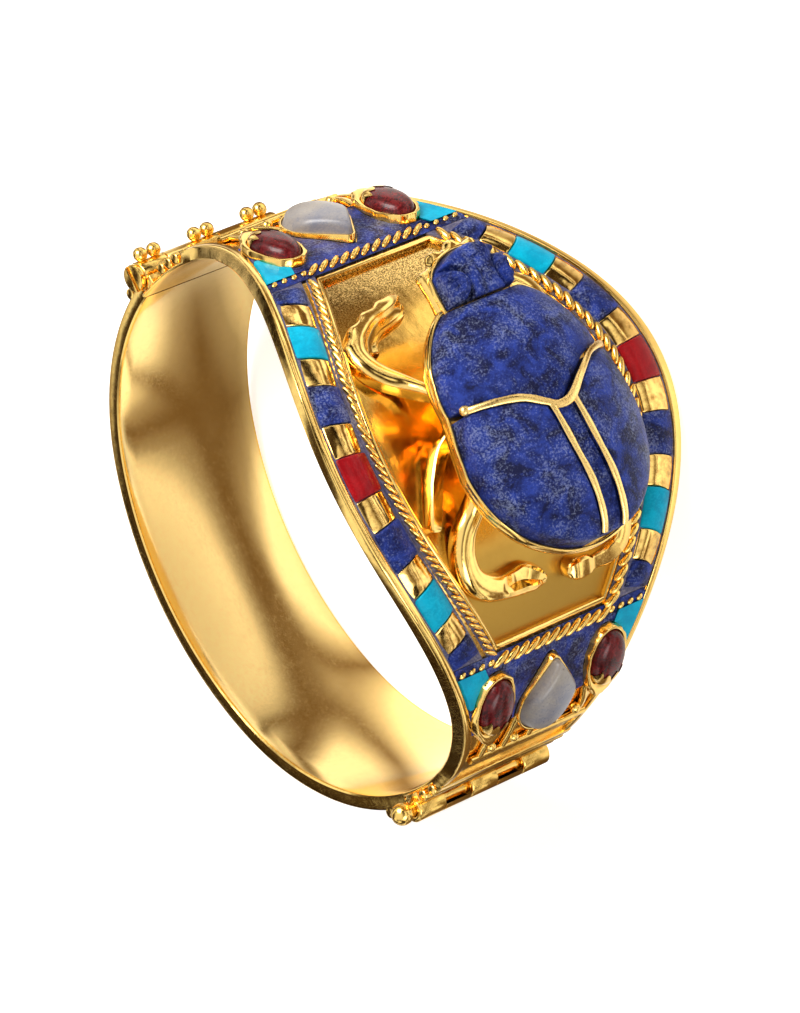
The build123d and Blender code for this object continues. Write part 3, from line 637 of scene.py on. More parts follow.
def panel_edge(y):
    """Half the sunken panel's width."""
    return half_width(y) - rope_line(y) - rope_width / 2 - frame_gap - frame_width


inside_points = 5


def plate_section(facing):
    """One closed cross-section of the front, from the near edge over the top to the far one."""
    x, y = oval(facing, plate_top)
    thin = x < strip_x
    sunken = abs(y) < panel_half_length
    top, lip = (liner_top, liner_top) if thin else (plate_top, lip_top)
    floor = panel_top if sunken else top
    edge = [(0.4, 0), (0.14, 0.05), (0.02, 0.18), (0, lip - 0.22), (0.05, lip - 0.08), (0.2, lip),
            (lip_width - 0.2, lip), (lip_width - 0.06, lip - 0.06), (lip_width, lip - 0.16),
            (lip_width, top)]
    half = [(half_width(oval(facing, h)[1]) - drawn_in, h) for drawn_in, h in edge]
    panel = panel_edge(y) + 0.15 if not thin else band_half_width - 2.0
    half += [(panel + 0.3, top), (panel, top), (panel, floor)]
    half += [(panel * share, floor) for share in (0.75, 0.5, 0.25)]
    inner = [(z, 0) for z in np.linspace(-(half[0][0] - 1), half[0][0] - 1, inside_points)]
    whole = half + [(0, floor)] + [(-z, h) for z, h in half[::-1]] + inner
    return [(*oval(facing, h), z) for z, h in whole]


hinge_x, clasp_x, split_gap = -5.7, -2.9, 0.1


def facing_at(x, side):
    """The facing of the inner oval near the hinge (1) or the clasp (-1), at an x."""
    radius = front_side if x >= 0 else back_side
    return side * math.degrees(math.acos(x / radius))


first, last = facing_at(clasp_x + split_gap, -1), facing_at(hinge_x + split_gap, 1)
panel_ends = [front_at(y, plate_top)[1] for y in (panel_half_length - 0.02, panel_half_length + 0.02)]
strip_ends = [facing_at(x, 1) for x in (strip_x + 0.02, strip_x - 0.02)]
steps_apart = panel_ends + strip_ends
steps = sorted(set(np.linspace(first, last, 131)) | {s * a for s in (1, -1) for a in steps_apart})
plate = loft([plate_section(facing) for facing in steps])
ring = len(plate_section(0))
floor_first, floor_last = 12, 19
plate_finish = []
for k, face in enumerate(plate[1]):
    y = plate[0][face[0]][1]
    between_steps = k < ring * (len(steps) - 1)
    if between_steps and floor_first <= k % ring <= floor_last and abs(y) < panel_half_length:
        plate_finish.append(1)
    else:
        plate_finish.append(2 if between_steps and k % ring >= ring - inside_points - 1 else 0)
piece("front_plate", plate, [polished_gold, panel_gold, mirror_gold], stands_for=["front_shell"],
      slot="gold", index=plate_finish)
print("front plate:", len(plate[1]), "faces in", len(steps), "sections")

# %% [markdown]
# ## The panel's frame
# A narrow ridge runs round the sunken panel, just inside the ropes. It is a rail between two
# outlines that are the same curve, one drawn further in.


# %% Frame the panel
def on_front(a, b, height):
    """A point at y = a and z = b, a height over the hollow."""
    return front_at(a, height)[0], a, b


def frame_outline(drawn_in):
    """The panel's outline, from the frame's outer edge inwards."""
    end = panel_half_length + frame_width - drawn_in
    ys = np.linspace(-end, end, 61)
    near = [(y, panel_edge(y) + frame_width - drawn_in) for y in ys]
    far = [(y, -z) for y, z in near[::-1]]
    ends = np.linspace(near[-1][1], -near[-1][1], 25)[1:-1]
    return near + [(end, z) for z in ends] + far + [(-end, -z) for z in ends]


frame_ridge = rail(frame_outline(0), frame_outline(frame_width + 0.2), panel_top - 0.02,
                   plate_top + 0.16, 0.3, on_front)
piece("panel_frame", frame_ridge, polished_gold, slot="gold")

# %% [markdown]
# ## Border stones and bars
# The borders are small blocks of stone with gold bars between them, thirteen on each side. Every
# block fills the place that the CAD gives it, between two cuts across the border. Hand-cut stones
# are never quite alike, so each outline is softened and its top leans by a hair.

# %% Cut the borders
stone_outer_inset, stone_inner_inset = 1.2, 4.75
stone_length, bar_length, stone_gap = 4.2, 3.25, 0.08
stone_rise, bar_rise, stones_each_way = 0.8, 0.7, 3


def border_point(y, drawn_in):
    """A point of a border line, carried square across the border from its middle at y."""
    facing = math.radians(front_at(y, plate_top)[1])
    slope = (half_width(y + 0.01) - half_width(y - 0.01)) / 0.02
    across = -math.cos(facing) ** 2 * slope
    shifted = y + across * ((stone_outer_inset + stone_inner_inset) / 2 - drawn_in)
    return shifted, half_width(shifted) - drawn_in


def border_cuts():
    """The y of each cut between blocks, from the middle outwards."""
    goals = [stone_length / 2]
    for _ in range(stones_each_way):
        goals += [goals[-1] + bar_length, goals[-1] + bar_length + stone_length]
    cuts, run, y = [], 0.0, 0.0
    for goal in goals:
        while run < goal:
            x0, x1 = front_at(y, plate_top)[0], front_at(y + 0.02, plate_top)[0]
            run += math.dist((x0, y, half_width(y)), (x1, y + 0.02, half_width(y + 0.02)))
            y += 0.02
        cuts.append(y)
    cuts[-1] = rope_start
    return cuts


def border_block(start, end, rise, seed, soft):
    """One block of the near border between two cuts."""
    rope_edge = rope_start - 0.03
    low = [border_point(y, stone_inner_inset) for y in np.linspace(start, end, 4)]
    high = [border_point(y, stone_outer_inset) for y in np.linspace(start, end, 4)]
    outline = softened([(min(y, rope_edge), z) for y, z in low + high[::-1]], 0.22, 0.3)
    outline = anticlockwise(outline)
    random = np.random.default_rng(seed)
    tip_y, tip_z, arch = random.normal(0, 0.02), random.normal(0, 0.02), 0.52 + random.normal(0, 0.03)
    middle = (start + end) / 2
    border_middle = (stone_outer_inset + stone_inner_inset) / 2
    border_half = (stone_inner_inset - stone_outer_inset) / 2

    def top(a, b):
        u = (a - middle) / (end - start) * 2
        v = (half_width(a) - b - border_middle) / border_half
        return plate_top + rise - arch * v * v - 0.05 * u * u + tip_y * u + tip_z * v

    return stone(outline, on_front, top, plate_top - 0.05, soft=soft, rings=9)


cuts = border_cuts()
print("border cuts at y =", [round(y, 2) for y in cuts])
gap = stone_gap / 2
places = {"middle": (gap - cuts[0], cuts[0] - gap, stone_rise)}
for k in range(stones_each_way):
    places["bar_%d" % (k + 1)] = (cuts[2 * k] + gap, cuts[2 * k + 1] - gap, bar_rise)
    places["stone_%d" % (k + 1)] = (cuts[2 * k + 1] + gap, cuts[2 * k + 2] - gap, stone_rise)
stone_finish = {"middle": (red_stone, "red_stone"), "stone_1": (lapis, "lapis"),
                "stone_2": (turquoise, "turquoise"), "stone_3": (lapis, "lapis")}
seed = 0
for place, (start, end, rise) in places.items():
    for side in ("near", "far"):
        for tip in ("head", "tail"):
            if place == "middle" and tip == "tail":
                continue
            seed += 1
            is_bar = place.startswith("bar")
            shape = border_block(start, end, rise, seed, 0.12 if is_bar else 0.16)
            if tip == "tail":
                shape = mirrored(shape, 1)
            if side == "far":
                shape = mirrored(shape, 2)
            finish, slot = (bar_gold, "gold") if is_bar else stone_finish[place]
            if place == "middle":
                node_name = side + "_stone_middle"
            else:
                kind, number = place.split("_")
                node_name = "%s_%s_%s_%s" % (side, kind, tip, number)
            piece(node_name + "_cut", shape, finish, stands_for=[node_name], slot=slot, crease=50)

# %% [markdown]
# ## The long ropes
# Between the border stones and the panel's frame lies a line of slanted gold strands in grey
# cement. They read as a twisted rope. A true twist of two wires would do, but the old rope is worn
# until only separate leaf-like strands show, so each strand is its own bead of metal.


# %% Lay the long ropes
def rope_place(y):
    """The long rope's middle at y, with the directions along it and out of the plate."""
    near_y = (y - 0.01, y, y + 0.01)
    points = [np.array(on_front(a, half_width(a) - rope_line(a), plate_top)) for a in near_y]
    facing = math.radians(front_at(y, plate_top)[1])
    along = points[2] - points[0]
    return points[1], along / np.linalg.norm(along), np.array((math.cos(facing), math.sin(facing), 0))


def long_rope(pitch, length, width, height, slant, seed):
    """The near rope's strands."""
    random = np.random.default_rng(seed)
    strands = []
    y = -(rope_start - 0.35)
    while y < rope_start - 0.3:
        centre, along, up = rope_place(y)
        side = np.cross(up, along)
        turn = slant + random.normal(0, 0.05)
        direction = along * math.cos(turn) + side * math.sin(turn)
        spot = centre + up * (0.3 + random.normal(0, 0.02))
        size = 1 + random.normal(0, 0.05)
        strands.append(grain(spot, direction, up, length * size, width * size, height))
        y += pitch * along[1] * (1 + random.normal(0, 0.03))
    return together(strands)


def rope_bed():
    """The cement under the near rope."""
    section = ((0.55, -0.02), (0.5, 0.16), (0, 0.22), (-0.5, 0.16), (-0.55, -0.02))
    rings = []
    for y in np.linspace(-rope_start, rope_start, 60):
        middle = half_width(y) - rope_line(y)
        rings.append([on_front(y, middle + dz, plate_top + h) for dz, h in section])
    return loft(rings)


near_strands = long_rope(pitch=1.0, length=1.75, width=0.45, height=0.7, slant=math.radians(27), seed=3)
far_strands = long_rope(pitch=1.35, length=2.1, width=0.72, height=0.95, slant=math.radians(30), seed=4)
far_strands = mirrored(far_strands, 2)
piece("near_rope_strands", near_strands, worked_gold, stands_for=["near_rope"], slot="gold")
piece("far_rope_strands", far_strands, worked_gold, stands_for=["far_rope"], slot="gold")


def border_bed():
    """The cement that the near border's blocks are set in."""
    section = ((0.98, -0.02), (1.05, 0.14), (1.5, 0.2), (3, 0.2), (4.6, 0.2), (4.95, 0.12), (5.0, -0.02))
    rings = []
    for y in np.linspace(-rope_start, rope_start, 60):
        rings.append([on_front(y, half_width(y) - drawn_in, plate_top + h) for drawn_in, h in section])
    return loft(rings)


near_bed = together([rope_bed(), border_bed()])
piece("near_cement", near_bed, cement)
piece("far_cement", mirrored(near_bed, 2), cement)
print("faces in each long rope:", len(near_strands[1]))

# %% [markdown]
# ## The end ropes
# At each end of the panel a thicker rope crosses the plate from lip to lip. Its strands are long
# slanted grains, and smaller single beads carry it on to the lips.


# %% Lay the end ropes
strand_pitch, strand_size, strands_each_way = 1.36, (2.3, 0.66, 0.85), 5
bead_pitch, bead_size, beads_from_z = 1.25, (0.85, 0.55, 0.5), 8.0


def end_rope(seed, slant):
    """The head end's rope, across the plate: strands in the middle and single beads at its ends."""
    random = np.random.default_rng(seed)
    reach = half_width(end_rope_y) - lip_width - 0.5
    x, facing = front_at(end_rope_y, plate_top)
    turn = math.radians(facing)
    up = np.array((math.cos(turn), math.sin(turn), 0))
    along = np.array((0, 0, 1.0))
    side = np.cross(up, along)
    strands = []
    for k in range(-strands_each_way, strands_each_way + 1):
        direction = along * math.cos(slant) + side * math.sin(slant) * (1 + random.normal(0, 0.06))
        centre = np.array((x, end_rope_y, k * strand_pitch)) + up * (0.34 + random.normal(0, 0.02))
        strands.append(grain(centre, direction, up, *strand_size))
    for z in np.arange(beads_from_z, reach, bead_pitch):
        for sign in (1, -1):
            centre = np.array((x, end_rope_y, sign * z)) + up * 0.3
            direction = along * math.cos(slant) + side * math.sin(slant)
            strands.append(grain(centre, direction, up, *bead_size))
    return together(strands)


def end_bed():
    """The blue stone paste under the head end's rope."""
    reach = half_width(end_rope_y) - lip_width - 0.05
    section = ((20.02, -0.02), (20.06, 0.2), (20.5, 0.26), (20.94, 0.24), (20.98, -0.02))
    rings = []
    for z in np.linspace(-reach, reach, 40):
        rings.append([on_front(y, z, plate_top + h) for y, h in section])
    return loft(rings)


head_strands = end_rope(5, math.radians(31))
tail_strands = mirrored(end_rope(6, math.radians(-34)), 1)
piece("head_rope_strands", head_strands, worked_gold, stands_for=["head_rope"], slot="gold")
piece("tail_rope_strands", tail_strands, worked_gold, stands_for=["tail_rope"], slot="gold")
piece("head_rope_bed", end_bed(), lapis, slot="lapis")
piece("tail_rope_bed", mirrored(end_bed(), 1), lapis, slot="lapis")

# %% [markdown]
# ## The end panels
# Beyond each end rope three stones stand in tall gold bezels: a pale drop between two red buds. Flat
# stone fills the ground round them. The bezels follow the stones' outlines, and each outline is
# drawn on a flat plane that touches the curved plate, as a jeweller would lay out a setting.

# %% Planes on the end panel
run_start = end_rope_y + rope_width / 2


def run_place(run):
    """The point of the plate's surface a run beyond the head rope, and its facing."""
    start = front_at(run_start, plate_top)[1]
    reach = front_long + plate_top
    straight = math.radians(front_join - start) * reach
    if run < straight:
        facing = start + math.degrees(run / reach)
    else:
        facing = front_join + math.degrees((run - straight) / (front_side + plate_top))
    return (*oval(facing, plate_top), facing)


def end_plane(run, z):
    """A function that puts points on a flat plane at a run and z: along the run, along z, up."""
    x, y, facing = run_place(run)
    turn = math.radians(facing)

    def place(a, b, height):
        return (x - a * math.sin(turn) + height * math.cos(turn),
                y + a * math.cos(turn) + height * math.sin(turn), z + b)

    return place


# %% Outlines of drop and bud
drop_radius, drop_tip_radius, drop_length, drop_tip_run = 3.3, 0.45, 8.6, 1.3
bud_half_length, bud_half_width, bud_run, bud_z = 3.3, 2.1, 4.2, 7.4


def drop_outline(grow):
    """The drop: a round end, and a narrow one that points at the rope."""
    big, small = drop_radius + grow, drop_tip_radius + grow
    round_x, tip_x = drop_length / 2 - drop_radius, drop_tip_radius - drop_length / 2
    touch_angle = math.acos((small - big) / (round_x - tip_x))
    points = [(round_x + big * math.cos(t), big * math.sin(t))
              for t in np.linspace(-touch_angle, touch_angle, 40)]
    tip = [(tip_x + small * math.cos(t), small * math.sin(t))
           for t in np.linspace(touch_angle, 2 * math.pi - touch_angle, 12)]
    shares = np.linspace(0, 1, 14)[1:-1]
    upper = [np.array(points[-1]) * (1 - t) + np.array(tip[0]) * t for t in shares]
    lower = [np.array(tip[-1]) * (1 - t) + np.array(points[0]) * t for t in shares]
    return np.array(points + upper + tip + lower)


def bud_outline(grow):
    """The bud's oval."""
    turns = np.linspace(0, 2 * math.pi, 56, endpoint=False)
    length, width = bud_half_length + grow, bud_half_width + grow
    return np.stack((length * np.cos(turns), width * np.sin(turns)), axis=1)


# %% Drops, buds and bezels
bezel_wall, bezel_foot, bezel_rise, drop_bezel_rise = 0.4, -0.8, 1.05, 0.75
drop_rise, bud_rise, stone_edge, setting_gap = 2.4, 2.2, 0.9, 0.03


def cabochon(outline, rise, edge_rise):
    """A domed stone's height inside an outline."""
    middle = outline.mean(axis=0)
    half = np.abs(outline - middle).max(axis=0)

    def top(a, b):
        u, v = (a - middle[0]) / half[0], (b - middle[1]) / half[1]
        return edge_rise + (rise - edge_rise) * math.sqrt(max(0, 1 - min(1, u * u + v * v) ** 1.2))

    return top


ends = (("head", lambda shape: shape), ("tail", lambda shape: mirrored(shape, 1)))
sides = (("near", lambda shape: shape), ("far", lambda shape: mirrored(shape, 2)))
drop_plane = end_plane(drop_tip_run + drop_length / 2, 0)
bud_plane = end_plane(bud_run, bud_z)
bud_line = bud_outline(-setting_gap)
bud_top = cabochon(bud_line, bud_rise, stone_edge)


def calyx():
    """The gold leaves that close the bud's outer end, a little above the stone."""
    rings = []
    for share in np.linspace(0, 1, 8):
        ring = []
        for turn in np.linspace(-1.05, 1.05, 29):
            points = abs(math.sin(turn * 4.5))
            a_edge = (bud_half_length + 0.2) * math.cos(turn)
            b_edge = (bud_half_width + 0.2) * math.sin(turn)
            a = a_edge - (1 - share) * (1.2 + 0.9 * points) * math.cos(turn)
            b = b_edge * (1 - 0.3 * (1 - share))
            inside = (a / bud_half_length) ** 2 + (b / bud_half_width) ** 2 < 0.98
            ring.append(bud_plane(a, b, (bud_top(a, b) + 0.1) if inside else stone_edge * (1.25 - share)))
        rings.append(ring)
    points, faces = loft(rings, caps=False)
    size = len(rings[0])
    return points, [face for face in faces if not (face[0] % size == size - 1)]


for end, to_end in ends:
    line = drop_outline(-setting_gap)
    shape = to_end(stone(line, drop_plane, cabochon(line, drop_rise, stone_edge), 0, soft=0.5, rings=10))
    piece(end + "_drop_cut", shape, milky_stone, stands_for=[end + "_drop"], slot="milky_stone")
    shape = rail(drop_outline(0.26), drop_outline(0.0), bezel_foot, drop_bezel_rise, 0.1, drop_plane)
    bezels = [to_end(shape)]
    for side, to_side in sides:
        shape = to_end(to_side(stone(bud_line, bud_plane, bud_top, 0, soft=0.45, rings=8)))
        piece("%s_bud_%s_cut" % (end, side), shape, garnet, stands_for=["%s_bud_%s" % (end, side)],
              slot="red_stone")
        outer = wavy(bud_outline(bezel_wall), 20 + len(bezels), 0.05)
        outer[:, 0] += 0.7 * np.maximum(0, outer[:, 0] / bud_half_length) ** 2
        shape = rail(outer, bud_outline(0.0), bezel_foot, bezel_rise, 0.15, bud_plane)
        bezels.append(to_end(to_side(shape)))
        bezels.append(to_end(to_side(calyx())))
    piece(end + "_bezels", together(bezels), polished_gold, stands_for=[end + "_setting"], slot="gold")

# %% Flat grounds keep their CAD shape
for name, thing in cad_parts.items():
    if name.endswith("_ground"):
        finish = lapis
    elif "_corner_" in name:
        finish = turquoise
    else:
        continue
    thing.data.materials.clear()
    thing.data.materials.append(finish)

# %% [markdown]
# ## Stems, wires and grains
# Between the stones and the plain end the goldsmith soldered short stems, round grains and a cross
# wire. They are swept wires and small beads in one mesh.


# %% Solder the stems and grains
def on_run(run, z, height):
    """A point over the end panel, a run beyond the rope."""
    x, y, facing = run_place(run)
    turn = math.radians(facing)
    return np.array((x + height * math.cos(turn), y + height * math.sin(turn), z))


def run_wire(points, radius, flat=0.8, count=24):
    """A wire over the end panel, through points of (run, z, height)."""
    line = smooth_path(points, count)
    path = [on_run(*point) for point in line]
    ups = []
    for run, _, _ in line:
        turn = math.radians(run_place(run)[2])
        ups.append((math.cos(turn), math.sin(turn), 0))
    return sweep(path, ups, lambda k: round_section(radius, flat))


def bead(centre, radius, up=(1, 0, 0), along=(0, 0, 1)):
    """A soldered grain, a little flatter than it is wide."""
    return grain(np.asarray(centre, float), along, up, 2 * radius, 2 * radius, 1.8 * radius)


stem_run, grain_run, wire_run = 9.6, 10.6, 12.1
ornaments = []
for z in (0.0, 3.4, -3.4, 6.4, -6.4):
    root_run = 7.4 if z else stem_run
    ornaments.append(run_wire([(root_run, z * 0.92, 0.3), (stem_run, z, 0.35), (11.7, z, 0.3)], 0.42))
for z in (2.67, -2.67, 5.67, -5.67):
    ornaments.append(bead(on_run(grain_run, z, 0.5), 0.55))
ends_of_wire = ((wire_run, -7.6, 0.35), (wire_run, 0, 0.4), (wire_run, 7.6, 0.35))
ornaments.append(run_wire(ends_of_wire, 0.45, count=30))
for end, to_end in ends:
    piece(end + "_stems", to_end(together(ornaments)), worked_gold, slot="gold")


# %% [markdown]
# ## Strips, rods and knuckles
# The plate ends in a raised strip. From there to the hinge and the clasp only the thin liner and
# some round rods go on. The knuckles are real barrels with a bore, because the clasp's pin pulls out.


# %% Build the ends of the front
def flat_place(a, b, height):
    """A point drawn in x and y, at a height along the wrist's axis."""
    return a, b, height


def along_wrist(outline, soft=0.12, half=band_half_width):
    """A straight piece along the wrist with this cross-section."""
    return slab(outline, -half, half, soft, flat_place)


def oval_patch(low_x, high_x, low, high, side):
    """The cross-section between two heights and two x near the hinge or the clasp."""
    angles = np.linspace(facing_at(low_x, side), facing_at(high_x, side), 10)
    outer = [oval(a, high) for a in angles]
    inner = [oval(a, low) for a in angles[::-1]]
    return softened(outer + inner, 0.12, 0.4)


def side_y(x, height):
    """The y of the surface of a height near the two ends."""
    if x >= 0:
        return half_span - front_side + math.sqrt((front_side + height) ** 2 - x ** 2)
    return half_span - back_side + math.sqrt((back_side + height) ** 2 - x ** 2)


rod_radius, rod_sunk = 0.6, 0.1
bore_radius, knuckle_count = 0.75, 5


def rod(x, side, base):
    """A round rod along the wrist, sunk a little into what carries it."""
    return along_wrist(circle(x, side * side_y(x, base + rod_radius - rod_sunk), rod_radius, 20), 0.15)


def barrel(x, y, radius, low, high):
    """A knuckle with its bore."""
    return rail(circle(x, y, radius), circle(x, y, bore_radius), low, high, 0.14, flat_place)


def knuckle(index, trim=0.06):
    """The low and high z of one knuckle."""
    pitch = 2 * band_half_width / knuckle_count
    low = -band_half_width + index * pitch + (trim if index else 0)
    high = -band_half_width + (index + 1) * pitch - (trim if index < knuckle_count - 1 else 0)
    return low, high


hinge_y, clasp_y, hinge_radius, clasp_radius = 29.5, -29.7, 1.45, 1.35
metalwork = []
for side, rod_xs in ((1, (1.1, -0.3, -1.7)), (-1, (1.4, -0.3))):
    strip_section = oval_patch(strip_x - strip_width / 2, strip_x + strip_width / 2, 0.1, strip_top, side)
    metalwork.append(along_wrist(strip_section))
    metalwork += [rod(x, side, liner_top) for x in rod_xs]
for x, y, radius in ((hinge_x, hinge_y, hinge_radius), (clasp_x, clasp_y, clasp_radius)):
    root = oval_patch(x + split_gap, x + radius + 0.6, 0.02, 1.3, math.copysign(1, y))
    for index in (0, 2, 4):
        low, high = knuckle(index)
        metalwork.append(barrel(x, y, radius, low, high))
        metalwork.append(slab(root, low, high, 0.1, flat_place))
        if y > 0:
            reach, turn = hinge_radius + 0.65, math.radians(65)
            bead_x, bead_y = x + reach * math.cos(turn), y + reach * math.sin(turn)
            bead_zs = [low + share * (high - low) for share in (0.25, 0.75)]
            metalwork += [bead((bead_x, bead_y, z), 0.75) for z in bead_zs]
piece("front_ends", together(metalwork), worked_gold, slot="gold", crease=50)

# %% [markdown]
# ## The back half
# The back is a plain band with a raised rim along both edges. Its own knuckles fit between the
# front's, and the ones at the clasp are open, so that it swings clear once the pin is out.

# %% Build the back half
back_wall, rim_top, rim_width, back_steps = 1.3, 1.55, 0.9, 121


def back_section(facing):
    """One closed cross-section of the back band."""
    edge = [(0.35, 0), (0.12, 0.05), (0, 0.2), (0, rim_top - 0.2), (0.06, rim_top - 0.06),
            (0.2, rim_top), (rim_width - 0.2, rim_top), (rim_width - 0.05, rim_top - 0.05),
            (rim_width, back_wall)]
    half = [(band_half_width - drawn_in, h) for drawn_in, h in edge]
    outer = [(z, back_wall) for z in (4, 0, -4)]
    inner = [(z, 0) for z in np.linspace(-7, 7, inside_points)]
    whole = half + outer + [(-z, h) for z, h in half[::-1]] + inner
    return [(*oval(facing, h), z) for z, h in whole]


back_first = facing_at(hinge_x - split_gap, 1)
back_last = facing_at(clasp_x - split_gap, -1) + 360
back_parts = [loft([back_section(facing) for facing in np.linspace(back_first, back_last, back_steps)])]
for x, side in ((-8.2, 1), (-5.1, -1), (-6.5, -1)):
    back_parts.append(rod(x, side, back_wall))
mouth_half, hook_depth = 0.95, 0.75
mouth = math.asin(mouth_half / clasp_radius)
hook = [(clasp_x + clasp_radius * math.cos(t), clasp_y + clasp_radius * math.sin(t))
        for t in np.linspace(mouth, 2 * math.pi - mouth, 30)]
hook += [(clasp_x, clasp_y - mouth_half), (clasp_x - hook_depth, clasp_y - 0.4),
         (clasp_x - hook_depth, clasp_y + 0.4), (clasp_x, clasp_y + mouth_half)]
for index in (1, 3):
    low, high = knuckle(index)
    back_parts.append(barrel(hinge_x, hinge_y, hinge_radius, low, high))
    back_parts.append(slab(hook, low, high, 0.06, flat_place))
band = together(back_parts)
ring = len(back_section(180))
band_finish = []
for k in range(len(band[1])):
    on_inside = k % ring >= ring - inside_points - 1 and k < ring * (back_steps - 1)
    band_finish.append(1 if on_inside else 0)
piece("back_band", band, [polished_gold, mirror_gold], body="back", stands_for=["back_shell"],
      slot="gold", index=band_finish)
print("back band:", len(band[1]), "faces")


# %% Turn the pins
pin_radius, head_radius, slot_half = 0.7, 1.4, 0.22


def turned_pin(x, y, profile):
    """A round piece on a pin's axis from (radius, z) steps."""
    return loft([[(px, py, z) for px, py in circle(x, y, radius, 28)] for radius, z in profile])


def slotted_head(x, y, sign):
    """A round flat head with a saw slot."""
    halves = []
    low, high = sorted((sign * 8.75, sign * 9.35))
    for flip in (1, -1):
        arc = [(x + flip * head_radius * math.cos(t), y + head_radius * math.sin(t))
               for t in np.linspace(-1.4, 1.4, 16)]
        beside_slot = [(px, py) for px, py in arc if flip * (px - x) > slot_half]
        halves.append(slab(beside_slot, low, high, 0.1, flat_place))
    slot_floor = (low, high - 0.3) if sign > 0 else (low + 0.3, high)
    halves.append(slab(circle(x, y, 1.33, 28), *slot_floor, 0.08, flat_place))
    return together(halves)


pin = [turned_pin(hinge_x, hinge_y, [(pin_radius, -8.9), (pin_radius, 8.9)])]
pin += [slotted_head(hinge_x, hinge_y, sign) for sign in (1, -1)]
piece("hinge_pin_turned", together(pin), worked_gold, stands_for=["hinge_pin"], slot="gold")
knob_z, knob_radius = 9.9, 1.15
profile = [(0.45, -8.7), (0.68, -8.45), (pin_radius, -8), (pin_radius, 8.8)]
profile += [(knob_radius * math.cos(t), knob_z + knob_radius * math.sin(t))
            for t in np.linspace(-0.9, 1.5, 12)]
piece("clasp_pin_turned", turned_pin(clasp_x, clasp_y, profile), worked_gold, body="clasp_pin",
      stands_for=["clasp_pin"], slot="gold")

# %% [markdown]
# ## The beetle's setting
# The beetle sits in a thin gold tray with an upstanding edge, the collet, that holds its stones. A
# short post joins the tray to the panel. The tray's outline is built from the same arcs as the
# stones, a little larger.

# %% Outlines of the beetle
wing_radius, wing_y = 10.4, -4.5
wing_front_y, wing_front_z = 1.4, 9.4
shoulder_y, shoulder_z, waist_y, waist_z = 6.6, 8.6, 10.6, 4.9
head_side_y, head_z, head_tip_y = 14.2, 4.3, 16.6


def arc_through(first, middle, last, count):
    """Points of the arc through three points."""
    (x1, y1), (x2, y2), (x3, y3) = first, middle, last
    d = 2 * (x1 * (y2 - y3) + x2 * (y3 - y1) + x3 * (y1 - y2))
    s1, s2, s3 = x1 * x1 + y1 * y1, x2 * x2 + y2 * y2, x3 * x3 + y3 * y3
    cx = (s1 * (y2 - y3) + s2 * (y3 - y1) + s3 * (y1 - y2)) / d
    cy = (s1 * (x3 - x2) + s2 * (x1 - x3) + s3 * (x2 - x1)) / d
    radius = math.dist((cx, cy), first)
    start, end = math.atan2(y1 - cy, x1 - cx), math.atan2(y3 - cy, x3 - cx)
    sweep_angle = (end - start + math.pi) % (2 * math.pi) - math.pi
    turns = [start + sweep_angle * t for t in np.linspace(0, 1, count)]
    return [(cx + radius * math.cos(turn), cy + radius * math.sin(turn)) for turn in turns]


def wing_side(grow):
    """One side of the wings, from the tail to the shoulder line, as (y, z)."""
    radius, front = wing_radius + grow, wing_front_z + grow
    tail = [(wing_y - radius * math.cos(t), radius * math.sin(t)) for t in np.linspace(0, math.pi / 2, 34)]
    middle = ((wing_front_y + wing_y) / 2, (front + radius) / 2 + 0.05)
    return tail[:-1] + arc_through((wing_y, radius), middle, (wing_front_y, front), 14)


def chest_side(grow):
    """One side of the chest, from the shoulder line to the waist."""
    return arc_through((wing_front_y, wing_front_z + grow), (shoulder_y, shoulder_z + grow),
                       (waist_y, waist_z + grow), 22)


def head_side(grow, start):
    """One side of the head, from the waist to its tip."""
    near, far = (head_side_y, head_z + grow), (head_side_y, -head_z - grow)
    front = arc_through(near, (head_tip_y + grow, 0), far, 31)
    return [(y, head_z + grow) for y in np.linspace(start, head_side_y, 6)[:-1]] + front[:16]


def both_sides(half):
    """A closed outline from its near half, which starts and ends on the middle line."""
    far = [(y, -z) for y, z in half[::-1] if abs(z) > 1e-6]
    return anticlockwise(np.array(list(half) + far))


def up_place(a, b, height):
    """A point at y = a and z = b on the beetle, at a height along x."""
    return height, a, b


beetle_base, tray_thickness, collet_wall, collet_rise = 30.4, 0.8, 0.35, 0.5
tray_bottom = beetle_base - tray_thickness
body_half = wing_side(collet_wall) + chest_side(collet_wall)[1:]
tray = [slab(both_sides(body_half + [(waist_y, 0)]), tray_bottom, beetle_base, 0.15, up_place)]
print("the beetle's tray lies from %.1f to %.1f mm" % (tray_bottom, beetle_base))

# %% The head's tray with its teeth
short_from_y, shortened, far_narrowed = 12.5, 0.85, 0.88


def head_place(a, b, height):
    """A point on the head, which is cut a little short and narrower on its far side."""
    y = min(a, short_from_y) + shortened * max(a - short_from_y, 0)
    return height, y, b if b > 0 else far_narrowed * b


head_back_y, lobes_y, lobe_swing, lobe_reach, lobe_count = waist_y - 1.0, 12.3, 0.38, 0.34, 12
lobed = []
for y, z in head_side(collet_wall + 0.35, head_back_y):
    turn = math.atan2(z, y - lobes_y)
    wave = lobe_swing * math.cos(turn * lobe_count) + lobe_reach if y > head_side_y - 1.5 else 0
    reach = math.hypot(y - lobes_y, z)
    lobed.append((lobes_y + (y - lobes_y) * (reach + wave) / reach, z * (reach + wave) / reach))
dense = [tuple(point) for point in smooth_path(lobed, 110)]
head_outline = both_sides([(head_back_y, 0)] + dense[:-1] + [(dense[-1][0], 0)])
tray.append(slab(head_outline, tray_bottom, beetle_base + 0.35, 0.42, head_place))
post_foot, post_overlap = 25.2, 0.1
post = softened([(-6, -3), (6, -3), (6, 3), (-6, 3)], 0.8)
tray.append(slab(post, post_foot, tray_bottom + post_overlap, 0.3, up_place))
piece("beetle_tray", together(tray), polished_gold, stands_for=["scarab_setting"], slot="gold")


